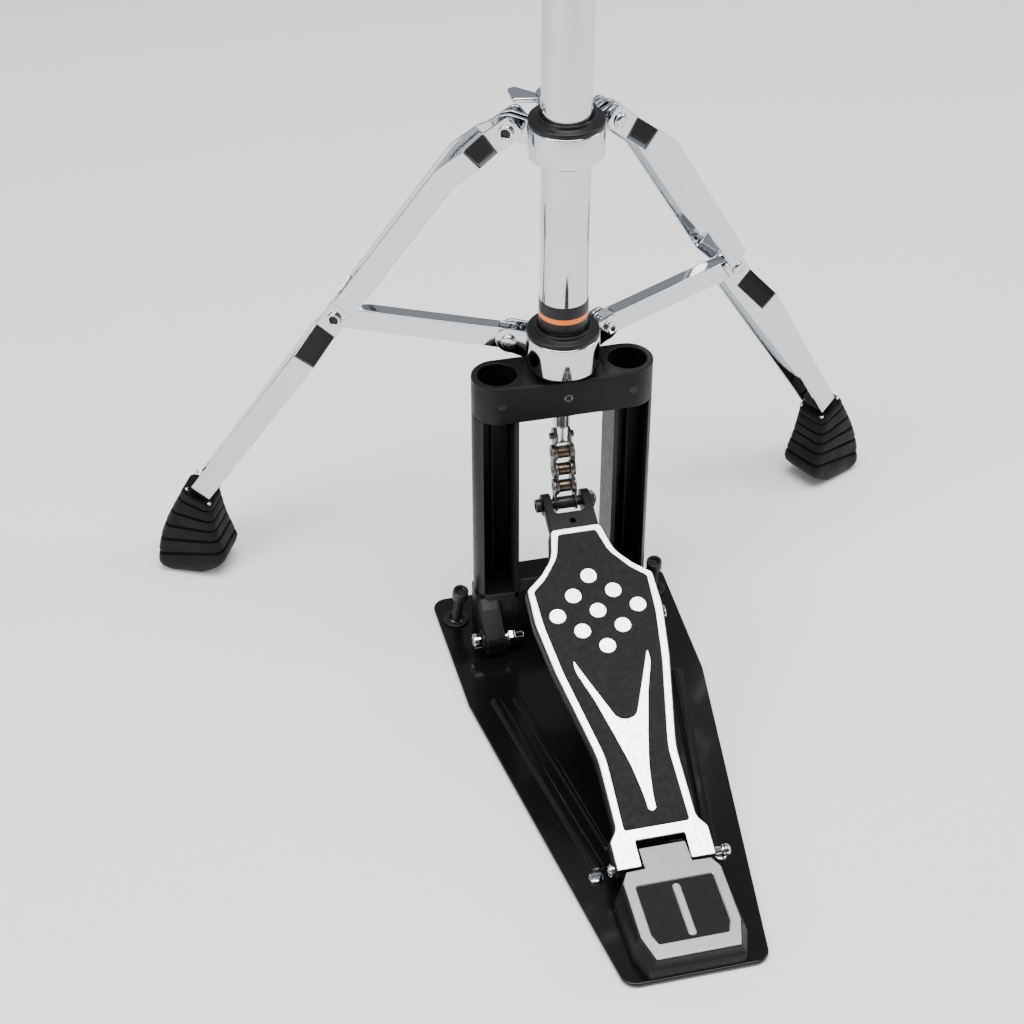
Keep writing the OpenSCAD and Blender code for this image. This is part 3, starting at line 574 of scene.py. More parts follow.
def black_plastic():
    f = Finish("moulded_nylon", (0.006, 0.006, 0.0063), 0.0, 0.4, Specular_IOR_Level=0.25)
    f.rough(f.noise(150, 4), 0.34, 0.46)
    f.tint(f.noise(60, 3), (0.009, 0.009, 0.0095), 0.5, 0.8)
    return f.bump(f.noise(1200, 2), 0.03, 0.25).mat


def label():
    f = Finish("printed_label", (0.004, 0.004, 0.004), 0.0, 0.32, Specular_IOR_Level=0.3)
    stripe, half = 0.2328, 0.0016
    band = f.nodes.new("ShaderNodeMath")
    band.operation = "COMPARE"
    band.inputs[1].default_value = stripe
    band.inputs[2].default_value = half
    f.links.new(f.height_along("Z"), band.inputs[0])
    f.tint(band.outputs[0], (0.85, 0.2, 0.02), 0.2, 0.8)
    f.rough(f.noise(200, 3), 0.26, 0.4)
    return f.bump(f.noise(800, 2), 0.02, 0.2).mat


def rubber():
    f = Finish("matte_rubber", (0.0034, 0.0034, 0.0036), 0.0, 0.6, Specular_IOR_Level=0.16)
    f.rough(f.noise(120, 5), 0.5, 0.7)
    f.tint(f.noise(70, 6), (0.0065, 0.0065, 0.0065), 0.5, 0.8)
    return f.bump(f.noise(900, 4), 0.08, 0.4).mat


def chain_steel():
    f = Finish("oiled_chain_steel", (0.11, 0.1, 0.095), 1.0, 0.34)
    f.rough(f.noise(250, 5), 0.22, 0.46)
    f.tint(f.noise(130, 4), (0.06, 0.045, 0.035), 0.48, 0.7)
    # Convex edges lighter: rubbed wear on the chain, partly a painted highlight.
    f.edge_wear_and_highlight((0.35, 0.33, 0.3))
    return f.bump(f.noise(900, 3), 0.02, 0.3).mat


def chain_roller():
    f = Finish("bronzed_roller_steel", (0.15, 0.115, 0.085), 1.0, 0.3)
    f.rough(f.noise(260, 5), 0.2, 0.42)
    f.tint(f.noise(160, 4), (0.075, 0.055, 0.042), 0.5, 0.72)
    return f.bump(f.noise(700, 3), 0.02, 0.3).mat


def black_oxide():
    f = Finish("black_oxide_steel", (0.012, 0.012, 0.013), 0.4, 0.34, Specular_IOR_Level=0.3)
    f.rough(f.noise(300, 4), 0.26, 0.42)
    # Painted highlight: the convex edges are lighter than the black oxide.
    f.edge_wear_and_highlight((0.07, 0.07, 0.07))
    return f.bump(f.noise(1200, 3), 0.02, 0.3).mat


def spring_steel():
    f = Finish("drawn_spring_steel", (0.5, 0.5, 0.51), 1.0, 0.3)
    f.rough(f.noise(500, 4), 0.24, 0.42)
    return f.bump(f.noise(1500, 2), 0.01, 0.3).mat


def brass():
    f = Finish("turned_brass", (0.72, 0.5, 0.2), 1.0, 0.28)
    f.rough(f.noise(900, 3, (0.1, 0.1, 1)), 0.22, 0.4)
    return f.bump(f.noise(1500, 2, (0.1, 0.1, 1)), 0.02, 0.3).mat


def felt():
    f = Finish("pressed_felt", (0.4, 0.4, 0.385), 0.0, 0.95, Sheen_Weight=0.6, Sheen_Roughness=0.5)
    f.tint(f.noise(500, 8), (0.26, 0.26, 0.25), 0.42, 0.62)
    f.tint(f.noise(1400, 3, (1, 1, 3)), (0.55, 0.55, 0.53), 0.6, 0.75)
    return f.bump(f.noise(1100, 8), 0.6, 0.7).mat


FINISHES = {make.__name__: make() for make in (
    gloss_black, satin_black, chrome, rod_steel, face_silver, heel_silver, grip, black_plastic,
    label, rubber, chain_steel, chain_roller, black_oxide, spring_steel, brass, felt)}

# ---- making pieces ----


def piece(name, shells, finish, body, replaces=(), sharp=40):
    """One object made of closed shells in millimetres, riding on a CAD body."""
    mesh = bpy.data.meshes.new(name)
    points, faces, flat = [], [], set()
    for shell_points, shell_faces, shell_flat in shells:
        flat |= {len(faces) + k for k in shell_flat}
        faces += [tuple(len(points) + k for k in f) for f in shell_faces]
        points += [p * MM for p in shell_points]
    bm = bmesh.new()
    corners = [bm.verts.new(p) for p in points]
    layer = bm.faces.layers.int.new("cap")
    for i, f in enumerate(faces):
        if len(set(f)) < 3:
            continue
        face = bm.faces.get([corners[k] for k in f])
        if face is None:
            face = bm.faces.new([corners[k] for k in f])
        face[layer] = 1 if i in flat else 0
        face.smooth = True
    bmesh.ops.remove_doubles(bm, verts=bm.verts, dist=1e-7)
    bmesh.ops.recalc_face_normals(bm, faces=bm.faces)
    for e in bm.edges:
        if len(e.link_faces) == 2:
            a, b = e.link_faces
            differs = a[layer] != b[layer] and e.calc_face_angle(0) > math.radians(3)
            e.smooth = not (differs or e.calc_face_angle(0) > math.radians(sharp))
    bm.faces.layers.int.remove(layer)
    bm.to_mesh(mesh)
    bm.free()
    mesh.materials.append(FINISHES[finish])
    obj = bpy.data.objects.new(name, mesh)
    bpy.context.scene.collection.objects.link(obj)
    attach(obj, body)
    if replaces:
        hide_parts(*replaces)
    return obj


SLOT_OF = {s["node"]: s["material_slot"] for s in frame["record"]["subparts"]}
for node_name, node_object in frame["nodes"].items():
    node_object.data.materials.clear()
    node_object.data.materials.append(FINISHES[SLOT_OF[node_name]])

# ---- base ----

PLATE_HALF = [(40.4, -303.6), (74.4, -71), (76.8, 30.8), (28, 30.8), (10, 39.8)]


def bead(x0, y0, w0, x1, y1, w1):
    """A raised bead that narrows from w0 at its front end to w1 at its heel end."""
    run = math.hypot(x1 - x0, y1 - y0)
    angle = math.degrees(math.atan2(y1 - y0, x1 - x0))
    shape = ridge(arc(w1 / 2, -90, 90, run, 0) + arc(w0 / 2, 90, 270), 0, 1.6, w1 * 0.36)
    return placed(shape, at(x0, y0, PLATE_TOP - 0.05) @ turn(angle, "Z"))


def make_base():
    outline = rounded(mirrored(PLATE_HALF), both([9, 14, 9, 8, 14]), 8)
    spikes = [circle(4, side * SPIKE_X, SPIKE_Y, 32) for side in (-1, 1)]
    shells = [slab(outline, PLATE_LOW, PLATE_TOP, 0.8, holes=spikes, steps=4)]
    for side in (-1, 1):
        shells.append(bead(side * 56.8, -73, 8.5, side * 33.2, -217, 8.5))
        shells.append(bead(side * 44.8, -74, 6, side * 24, -205, 3.6))
    piece("base_plate_pressing", shells, "gloss_black", "stand", ["base_plate"])
    pads = [slab(box_outline(132, 18, 3), 0, PLATE_LOW, 0.25),
            placed(slab(box_outline(68, 16, 3), 0, PLATE_LOW, 0.25), at(0, -290, 0))]
    piece("base_rubber_pads", pads, "rubber", "stand", ["base_pads"])
    heads = [placed(slotted_head(4.2, 2.1), at(side * 36, -225.6, PLATE_TOP)) for side in (-1, 1)]
    piece("plate_screw_heads", heads, "chrome", "stand", ["plate_screws"])


def slotted_head(r, height, slot=0.9):
    """A domed head with a straight slot, built as two half domes and a sunk floor."""
    low = height * 0.55
    shells = [pin(r, 0, low, 0.25)]
    for side in (-1, 1):
        reach = math.degrees(math.asin(slot / 2 / r))
        half = arc(r, reach, 180 - reach, n=20)
        rings = []
        for k in range(5):
            a = math.pi / 2 * k / 4
            share = 1 - 0.42 * (1 - math.cos(a))
            ring = [Vector((p.x * share, max(p.y * share, slot / 2), low + (height - low) * math.sin(a)))
                    for p in half]
            rings.append(ring)
        shell = loft(rings)
        shells.append(placed(shell, turn(0 if side > 0 else 180, "Z")))
    return shells_joined(shells)


def shells_joined(shells):
    points, faces, flat = [], [], set()
    for p, f, c in shells:
        flat |= {len(faces) + k for k in c}
        faces += [tuple(len(points) + k for k in face) for face in f]
        points += p
    return points, faces, flat


def make_spikes():
    for name, side in (("left", -1), ("right", 1)):
        place = at(side * SPIKE_X, SPIKE_Y, 4) @ turn(13.1, "X") @ turn(side * -3.8, "Y")
        head = slab(circle(4.9, n=40), 22.6, 29.6, 0.6, pockets=[(hexagon(2.6), 26)])
        grooves = [pin(4.98, 23.6 + k, 24.1 + k, 0.1) for k in range(0, 5)]
        shells = [head, thread(3, -2.4, 22.8, 1.3, 0.5, cone=3)] + grooves
        piece(name + "_spike_bolt", all_placed(shells, place), "black_oxide",
              name + "_spike", [name + "_spike"])
    rings = [placed(tube(8, 4.4, 0, 1.6, 0.45), at(side * SPIKE_X, SPIKE_Y, PLATE_TOP)) for side in (-1, 1)]
    piece("spike_washers", rings, "black_oxide", "stand", ["spike_nuts"])


# ---- heel ----

HEEL_HALF = [(23.4, -72), (27.9, -56.5), (27.7, -20.6), (24.2, -14.2), (13.4, -13.8), (13.4, 0)]
HEEL_GRIP_HALF = [(19.7, -63.2), (22.3, -56.3), (22.2, -24.2)]


def make_heel():
    foot_half = [(27, -302.2), (32.2, -287), (32.2, -250), (28, -244.2)]
    top_half = [(24.2, -72.8), (28.9, -57), (28.7, -20.3), (25, -14.4)]
    radii = both([2, 4, 4, 1.5])
    low = ccw(rounded(mirrored(foot_half), radii, 4))
    high = ccw(rounded(mirrored(top_half), radii, 4))
    rings = [level(low, PLATE_TOP), level(low, 10.0), level(grown(low, -0.4), 10.8)]
    for inset, z in ((0.3, -2.4), (0.1, -1.8), (0.25, -1.4), (0.7, -FACE)):
        rings.append([HEEL @ p for p in level(grown(high, -inset), z)])
    tongue = placed(slab(box_outline(26.6, 10, 1), 0, 5, 0.4), HEEL @ at(0, -10, -FACE - 5))
    post = placed(slab(box_outline(26.6, 10, 1), PLATE_TOP, 17.5, 0.5), at(0, -240, 0))
    knuckle = placed(pin(5, -13.3, 13.3, 0.6), at(*HINGE) @ Z_TO_X)
    piece("heel_block_casting", [loft(rings), tongue, post, knuckle], "satin_black", "stand", ["heel_block"])

    outline = rounded(mirrored(HEEL_HALF), both([0.6, 1.5, 2, 0.6, 0.4, 1]), 4)
    panel = rounded(mirrored(HEEL_GRIP_HALF), both([1.5, 3, 1.5]), 4)
    slot = [Vector((p.y, p.x - 43.9)) for p in stadium(15.2, 2)]
    plate = slab(outline, -FACE, 0, 0.35, pockets=[(panel, -0.6)])
    bar = slab(slot, -0.62, 0, 0.3)
    piece("heel_face_plate", [placed(s, HEEL) for s in (plate, bar)], "heel_silver", "stand", ["heel_plate"])
    inner = slab(grown(ccw(panel), -0.25), -0.62, -0.2, 0.12, holes=[grown(ccw(slot), 0.25)])
    piece("heel_grip_panel", [placed(inner, HEEL)], "grip", "stand", ["heel_grip"])

    clip, collar = tube(3.8, 2.6, -31.1, -29.9, 0.25), tube(3.6, 2.6, 33.2, 34.6, 0.3)
    rod = [pin(2.7, -32, 35, 0.5), placed(dome(3.6, 0, 3.4), at(0, 0, 35.2)), clip, collar]
    shells = all_placed(rod, at(*HINGE) @ Z_TO_X)
    piece("hinge_pin_rod", shells, "chrome", "stand", ["hinge_pin"])


# ---- uprights and bridge ----


def make_uprights():
    outer = []
    for k in range(15):
        y = -10.86 + (13.6 + 10.86) * k / 14
        outer.append((BRIDGE_END_X + math.sqrt(BRIDGE_END_R ** 2 - min(y * y, BRIDGE_END_R ** 2)), y))
    channel = [(UPRIGHT_IN, 13.6), (UPRIGHT_IN, -12.6), (31.5, -12.6), (31.5, 8), (50.5, 8)] + outer
    front = [(UPRIGHT_IN, 13.6), (UPRIGHT_IN, -12.6), (48.5, -12.6)] + outer
    foot = rounded([(10, PLATE_TOP), (10, 34), (-11, 34), (-17.5, 30), (-34, 17), (-34, 8), (-30, PLATE_TOP)],
                   [0.5, 3, 2, 4, 5, 4, 0.5], 5)
    foot_place = at(42, 0, 0) @ FACING_X
    flared = slab(foot, 0, 12.6, 1.6, holes=[circle(3.05, KEY_Y, KEY_Z, 28)], steps=4)
    for name, side in (("left", -1), ("right", 1)):
        shells = [slab(channel, 32, BRIDGE_BOTTOM + 0.3, 0.7),
                  slab(front, PLATE_TOP, 37, 0.7),
                  placed(flared, foot_place),
                  slab(box_outline(1.8, 6, 0.6, 41.9, 5.5), 34, BRIDGE_BOTTOM, 0.3),
                  placed(tube(6.2, 3.05, 0, 2.2, 0.6), at(54.4, KEY_Y, KEY_Z) @ Z_TO_X)]
        flip = MIRROR if side < 0 else Matrix.Identity(4)
        piece(name + "_upright_casting", all_placed(shells, flip), "satin_black", "stand",
              [name + "_upright"])
    bar = [(10, PLATE_TOP), (10, 43), (-8, 43), (-13, 38), (-15, 17), (-11, PLATE_TOP)]
    beam = placed(slab(rounded(bar, [0.5, 1.5, 2.5, 3, 3, 0.5], 5), -UPRIGHT_IN, UPRIGHT_IN, 0.4), FACING_X)
    piece("base_crossbar_casting", [beam], "satin_black", "stand", ["base_crossbar"])
    keys = []
    for side in (-1, 1):
        place = at(side * KEY_X, KEY_Y, KEY_Z) @ turn(90 * side, "Y")
        head = slab(circle(4.8, n=36), 8.6, 14, 0.7, pockets=[(hexagon(2.4), 11)])
        parts = [pin(3, -18, 10, 0.5), head, tube(4.9, 3, 7.1, 8.4, 0.3), nut(4.4, -12.4, -8.6, 3.0),
                 tube(4.6, 3, -8.4, -7.3, 0.2)]
        keys += all_placed(parts, place)
    piece("upright_key_pins", keys, "chrome", "stand", ["upright_pins"])


def make_bridge():
    body = slab(stadium(BRIDGE_END_X, BRIDGE_END_R), BRIDGE_BOTTOM, BRIDGE_TOP - 1, 1.0, steps=4,
                holes=[circle(TUBE_R, n=56)],
                pockets=[(circle(WELL_R, s * BRIDGE_END_X), BRIDGE_BOTTOM + 5) for s in (-1, 1)])
    lug_r = 24
    corner_angle = math.degrees(math.asin(BRIDGE_END_R / lug_r))
    corner_x = lug_r * math.cos(math.radians(corner_angle))
    pad = [Vector((corner_x, -BRIDGE_END_R))] + arc(BRIDGE_END_R, -90, 90, BRIDGE_END_X, 0, 20)
    pad += arc(lug_r, corner_angle, -corner_angle, n=14)[:-1]
    pad = slab(pad, BRIDGE_TOP - 3, BRIDGE_TOP, 0.7, holes=[circle(WELL_R, BRIDGE_END_X)], steps=4)
    boss = slab(circle(10.5), 164, 175, 1.2, holes=[circle(8, n=36)])
    shells = [body, pad, placed(pad, MIRROR), boss]
    piece("bridge_casting", shells, "satin_black", "stand", ["bridge"])
    screws = []
    for side in (-1, 1):
        well = slab(circle(6), BRIDGE_BOTTOM + 5, BRIDGE_BOTTOM + 11, 0.8, pockets=[(hexagon(2.6), 176)])
        screws.append(placed(well, at(side * BRIDGE_END_X, 0, 0)))
        face = at(side * BRIDGE_END_X, -BRIDGE_END_R, 180.6) @ turn(90, "X")
        screws.append(placed(pin(2.2, -3, 0.15, 0.3), face))
    piece("bridge_cap_screws", screws, "black_oxide", "stand", ["bridge_bolts"])
    ring = tube(2.5, 1.6, -1.1, 0.1, 0.25, 32)
    core = slab(circle(1.65, n=24), -1.1, -0.2, 0.1, pockets=[(hexagon(0.9), -0.8)])
    middle = at(0, -BRIDGE_END_R, 181) @ turn(90, "X")
    piece("bridge_set_screw", all_placed([ring, core], middle), "chain_steel", "stand")


# ---- tube, rod and spring ----


def make_tube():
    pipe = tube(TUBE_R, TUBE_INNER_R, TUBE_BOTTOM, TUBE_TOP, 0.4, 96)
    piece("main_tube_pipe", [pipe], "chrome", "stand", ["main_tube"])
    band = tube(TUBE_R + 0.15, TUBE_R - 0.2, LABEL_LOW, LABEL_HIGH, 0.06, 96)
    piece("tube_label_band", [band], "label", "stand", ["tube_label"])
    guide = [tube(8, LOWER_ROD_R + 0.05, 164, 178, 0.4, 48), tube(TUBE_INNER_R, 7, TUBE_BOTTOM, 178, 0.3, 48)]
    piece("rod_guide_bush", guide, "black_plastic", "stand", ["rod_guide"])


def make_pull_rod():
    n, rings = 48, []
    flat_x, flat_y, flat_top = 3.6, 5.2, 152
    heights = [138.9, 139.4, 140.2, 141.2, 142.4, 144, 148, 151.4, 151.9, 152.2, 153, 329.4, 330]
    for z in heights:
        inset = 0.6 if z in (heights[-1], heights[-4]) else 0
        limit_y = flat_y if z >= CHAIN_TOP else math.sqrt(max(0.05, flat_y ** 2 - (CHAIN_TOP - z) ** 2))
        ring = []
        for k in range(n):
            a = 2 * math.pi * k / n
            x, y = (LOWER_ROD_R - inset) * math.cos(a), (LOWER_ROD_R - inset) * math.sin(a)
            if z < flat_top:
                x = max(-flat_x, min(flat_x, x))
            ring.append(Vector((x, max(-limit_y, min(limit_y, y)), z)))
        rings.append(ring)
    piece("lower_pull_rod", [loft(rings)], "rod_steel", "pull_rod", ["lower_rod"])
    shaft = lathe([(0, 309), (ROD_R - 0.4, 309), (ROD_R, 310), (ROD_R, ROD_TOP - 2.2),
                   (ROD_R - 0.3, ROD_TOP - 1.1), (ROD_R - 1.1, ROD_TOP - 0.3), (0, ROD_TOP)], 40)
    piece("upper_pull_rod", [shaft], "rod_steel", "pull_rod", ["upper_rod"])
    piece("spring_seat_nut", [tube(9.5, LOWER_ROD_R, 292, 300, 0.6, 48)], "brass", "pull_rod", ["spring_nut"])
    spring = piece("return_spring_coil", [coil(7.5, 1.0, 179.2, 290.8, 19)], "spring_steel", "pull_rod",
                   ["return_spring"])
    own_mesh(spring)


def link_outline():
    """The waisted outline of a chain plate, from its upper eye at the origin to its lower eye."""
    r, waist = 5.1, 3.5
    bottom = [Vector((p.x, p.y - CHAIN_PITCH)) for p in arc(r, 220, 320, n=14)]
    top = arc(r, 40, 140, n=14)
    middle = -CHAIN_PITCH / 2
    right = [Vector((waist + (r - waist) * (1 - math.cos(math.pi * t / 2)), middle + t * CHAIN_PITCH * 0.3))
             for t in (-1, -0.6, 0, 0.6, 1)]
    left = [Vector((-p.x, p.y)) for p in reversed(right)]
    arc_right_low = arc(r, 320, 350, 0, -CHAIN_PITCH, 3)
    arc_right_high = arc(r, 10, 40, n=3)
    arc_left_high = arc(r, 140, 170, n=3)
    arc_left_low = arc(r, 190, 220, 0, -CHAIN_PITCH, 3)
    return (bottom + arc_right_low[1:] + right + arc_right_high + top[1:] + arc_left_high[1:] + left
            + arc_left_low[:-1])


def make_chain():
    outline = link_outline()
    plates, pins, rollers = [], [], []
    for i in range(CHAIN_LINKS):
        drop = at(0, 0, -i * CHAIN_PITCH)
        low_hole = 4.3 if i == CHAIN_LINKS - 1 else 1.9
        for x in ((3.9, -5.3) if i % 2 == 0 else (5.5, -6.9)):
            eyes = [circle(1.9, n=24), circle(low_hole, 0, -CHAIN_PITCH, 32)]
            plate = slab(outline, 0, 1.4, 0.32, holes=eyes)
            plates.append(placed(plate, CHAIN @ drop @ at(x, 0, 0) @ FACING_X))
        ends = [pin(2, -7.4, 7.4, 0.3, 28), placed(dome(2.2, 0, 0.7, 28), at(0, 0, 7.0)),
                placed(dome(2.2, 0, 0.7, 28), at(0, 0, -7.0) @ turn(180, "X"))]
        pins += all_placed(ends, CHAIN @ drop @ Z_TO_X)
        if i:
            rollers.append(placed(tube(3.9, 2.05, -3.7, 3.7, 0.6, 40), CHAIN @ drop @ Z_TO_X))
    piece("chain_link_plates", plates, "chain_steel", "chain", ["chain_plates"])
    piece("chain_link_pins", pins, "chain_steel", "chain", ["chain_pins"])
    piece("chain_link_rollers", rollers, "chain_roller", "chain", ["chain_rollers"])


# ---- footboard ----

BOARD_HALF = [(28, 0), (28, 17.2), (23, 24), (22.8, 68), (34.2, 126), (38.5, 158), (38.1, 181),
              (28, 189.3), (19.2, 200), (15.2, 218.8)]
BOARD_RADII = [0.8, 3, 10, 70, 90, 50, 3.5, 20, 22, 3.2]
GRIP_HALF = [(18.8, 22.4), (18.2, 68), (29.4, 124), (33.5, 155), (34.4, 179.2), (26.4, 186),
             (15.6, 200), (11.6, 215)]
GRIP_RADII = [1.6, 60, 80, 50, 2, 18, 24, 2]
CHEVRON_HALF = [(2.5, 32.6), (3, 42), (5.4, 60), (10, 79.5), (16.1, 103.5), (23, 124), (22.6, 131.4),
                (21.2, 129.6), (14.4, 112.4), (5.6, 91)]
CHEVRON_RADII = [2, 40, 60, 80, 60, 20, 0.5, 3, 60, 6]
DOT_R = 5.2
DOT_STEP = (12.18, 11.89)
DOT_TOP_V = 184.7
GROOVE = 0.3


def chevron():
    left = [(-x, v) for x, v in reversed(CHEVRON_HALF)]
    points = [(0, 30.2)] + CHEVRON_HALF + [(0, 88.7)] + left
    return ccw(rounded(points, [2] + CHEVRON_RADII + [8] + CHEVRON_RADII[::-1], 5))


def board_outline(extra):
    """The board's outline with its heel notch, made wider by extra."""
    half = [(x + extra, v) for x, v in BOARD_HALF]
    notch = [(-NOTCH, 0), (-NOTCH, 15.5), (NOTCH, 15.5), (NOTCH, 0)]
    return rounded(mirrored(half) + notch, both(BOARD_RADII) + [0.6, 1, 1, 0.6], 6)


def pocket(v0, v1, side):
    """One hollow of the ribbed underside, between two cross ribs and beside the middle rib."""
    def reach(v):
        for (x0, a), (x1, b) in zip(GRIP_HALF, GRIP_HALF[1:]):
            if a <= v <= b:
                return x0 + (x1 - x0) * (v - a) / (b - a)
        return GRIP_HALF[-1][0]

    inner, margin = 1.2, 1.6
    steps = [v0 + (v1 - v0) * k / 4 for k in range(5)]
    return [(side * inner, v0)] + [(side * (reach(v) - margin), v) for v in steps] + [(side * inner, v1)]


def make_footboard():
    hollows = [(pocket(a, b, side), -3.2) for a, b in ((24, 68), (74, 128), (134, 177), (184, 208))
               for side in (-1, 1)]
    casting = slab(board_outline(0.9), -BOARD_DEPTH, -FACE, 0.6, under=hollows)
    ear_in, ear_out = 9.5, 14.8
    fork = [(-ear_out, 213), (ear_out, 213), (ear_out, AXLE_V + 2), (ear_in, AXLE_V + 2), (ear_in, 231),
            (-ear_in, 231), (-ear_in, AXLE_V + 2), (-ear_out, AXLE_V + 2)]
    neck = slab(rounded(fork, [1, 1, 2.5, 2.5, 2.5, 2.5, 2.5, 2.5], 4), -BOARD_DEPTH, -FACE, 0.6,
                holes=[circle(1.6, 0, 224.5, 20)])
    shells = [placed(casting, BOARD), placed(neck, BOARD)]
    for side in (-1, 1):
        middle = side * (ear_in + ear_out) / 2
        ear = tube(6.8, 3, -2.65, 2.65, 0.6)
        shells.append(placed(ear, BOARD @ at(middle, AXLE_V, AXLE_W) @ Z_TO_X))
        knuckle = tube(5, 2.75, -6.8, 6.8, 0.6)
        shells.append(placed(knuckle, at(side * 21.2, HINGE[1], HINGE[2]) @ Z_TO_X))
    piece("footboard_casting", shells, "satin_black", "pedal", ["footboard"])

    grip_loop = ccw(rounded(mirrored(GRIP_HALF), both(GRIP_RADII), 6))
    rim = slab(board_outline(0), -FACE, 0, 0.4, holes=[grip_loop])
    piece("footboard_rim_plate", [placed(rim, BOARD)], "face_silver", "pedal", ["footboard_rim"])
    dots = [((j - i) * DOT_STEP[0], DOT_TOP_V - (i + j) * DOT_STEP[1]) for i in range(3) for j in range(3)]
    holes = [circle(DOT_R + GROOVE / 2, x, v, 36) for x, v in dots] + [grown(chevron(), GROOVE / 2)]
    panel = slab(grown(grip_loop, -GROOVE), -FACE, -0.25, 0.12, holes=holes)
    piece("footboard_grip_panel", [placed(panel, BOARD)], "grip", "pedal", ["footboard_grip"])
    inlays = [slab(circle(DOT_R - GROOVE / 2, x, v, 40), -FACE, 0, 0.35) for x, v in dots]
    inlays.append(slab(grown(chevron(), -GROOVE / 2), -FACE, 0, 0.3))
    piece("footboard_inlay_set", all_placed(inlays, BOARD), "face_silver", "pedal",
          ["footboard_inlays"])

    place = BOARD @ at(0, AXLE_V, AXLE_W) @ Z_TO_X
    head = placed(slab(circle(4.2, n=36), 0, 3.6, 0.5, pockets=[(hexagon(2), 2)]), turn(180, "X"))
    axle = [pin(3, -15, 19, 0.5), placed(head, at(0, 0, -15)), tube(3.9, 2.8, -5.2, 5.2, 0.4, 40)]
    piece("chain_axle_bolt", all_placed(axle, place), "black_oxide", "pedal", ["chain_axle"])
    piece("chain_axle_nut", [placed(nut(5.2, 14.9, 17.8, 2.9), place)], "chrome", "pedal", ["axle_nut"])


# ---- collars ----


def make_sleeve(name, z0, z1, body, node):
    r_in = TUBE_R + 0.05
    profile = [(r_in, z0), (SLEEVE_R - 0.4, z0), (SLEEVE_R, z0 + 0.4), (SLEEVE_R, z1 - 3),
               (BAND_R - 0.8, z1 - 3), (BAND_R - 0.3, z1 - 2.5), (BAND_R - 0.3, z1 - 0.9),
               (BAND_R - 0.6, z1 - 0.3), (BAND_R - 1.2, z1),
               (16.8, z1), (16.4, z1 + 0.4), (16.4, z1 + 1.8), (16.1, z1 + 2.3), (15.6, z1 + 2.4),
               (14.9, z1 + 2.2), (r_in, z1 + 1.4)]
    piece(name, [spun(profile, 72)], "black_plastic", body, [node], sharp=50)


def ear_plate(n0, thick, pivot, eye_r, z_low, z_high):
    """A lug from the band out to a rounded eye, in the leg's own frame."""
    s, z = pivot
    eye = arc(eye_r, -100, 100, s, z, 20)
    outline = [(BAND_R - 1.4, z_low)] + [(p.x, p.y) for p in eye] + [(BAND_R - 1.4, z_high)]
    shape = slab(outline, -thick, 0, 0.4, holes=[circle(3, s, z, 32)])
    return placed(shape, at(0, n0, 0) @ FACING_Y)


def make_lower_collar():
    make_sleeve("lower_collar_sleeve", *LOWER_SLEEVE, "lower_collar", "lower_sleeve")
    shells = [tube(BAND_R, SLEEVE_R, LOWER_SLEEVE[0] + 2, LOWER_SLEEVE[1] - 3, 0.7, 96)]
    for leg in LEG.values():
        for n0 in (MID_N, -MID_N - STRAP_T):
            shells.append(placed(ear_plate(n0, STRAP_T, BRACE_PIVOT, LUG_EYE_R, 200, 217.6), leg))
    piece("lower_collar_band", shells, "chrome", "lower_collar", ["lower_band"])
    outer = MID_N + STRAP_T
    shells = []
    for name, leg in LEG.items():
        place = leg @ at(BRACE_PIVOT[0], 0, BRACE_PIVOT[1]) @ Z_TO_Y
        shells.append(placed(pin(3, -outer, outer, 0.2), place))
        front = slotted_head(4.4, 2.2) if name == "left" else \
            slab(circle(4.2, n=36), 0, 2.2, 0.5, pockets=[(hexagon(2.2), 0.5)])
        shells.append(placed(front, place @ at(0, 0, -outer) @ turn(180, "X")))
        shells.append(placed(nut(4.4, outer, outer + 2.2, 2.0), place))
    piece("brace_pivot_bolts", shells, "chrome", "lower_collar", ["brace_bolts"])


def make_upper_collar():
    make_sleeve("upper_collar_sleeve", *UPPER_SLEEVE, "upper_collar", "upper_sleeve")
    shells = [tube(BAND_R, SLEEVE_R, UPPER_SLEEVE[0], UPPER_SLEEVE[1] - 3, 0.7, 96)]
    for leg in LEG.values():
        for n0 in (1.2, -3.6):
            shells.append(placed(ear_plate(n0, 2.4, TOP_PIVOT, LUG_EYE_R, 338, 352.6), leg))
        for side in (-1, 1):
            bush = tube(5.4, 3, 3.6, 6.7, 0.4, 40)
            place = leg @ at(TOP_PIVOT[0], 0, TOP_PIVOT[1]) @ turn(-90 * side, "X")
            shells.append(placed(bush, place))
    block = slab(box_outline(18, 15, 1.2, 0, WING_Z), -14, 0, 0.8, holes=[circle(3.05, 0, WING_Z, 28)])
    shells.append(placed(block, at(0, SLEEVE_R + 1.2, 0) @ FACING_Y))
    piece("upper_collar_band", shells, "chrome", "upper_collar", ["upper_band"])
    shells, shade_discs = [], []
    outer = TOP_N + STRAP_T + 0.3
    for name, leg in LEG.items():
        place = leg @ at(TOP_PIVOT[0], 0, TOP_PIVOT[1]) @ Z_TO_Y
        shells.append(placed(pin(3, -outer, outer, 0.2), place))
        for side in (-1, 1):
            outward = place @ at(0, 0, side * outer) @ (turn(180, "X") if side < 0 else Matrix.Identity(4))
            make_leg_rivet(shells, shade_discs, name, outward)
    piece("leg_pivot_rivets", shells, "chrome", "upper_collar", ["leg_bolts"])
    # Painted shade: the dark discs in the hollow rivets of the left leg.
    piece("leg_rivet_shade_discs", shade_discs, "black_oxide", "upper_collar")


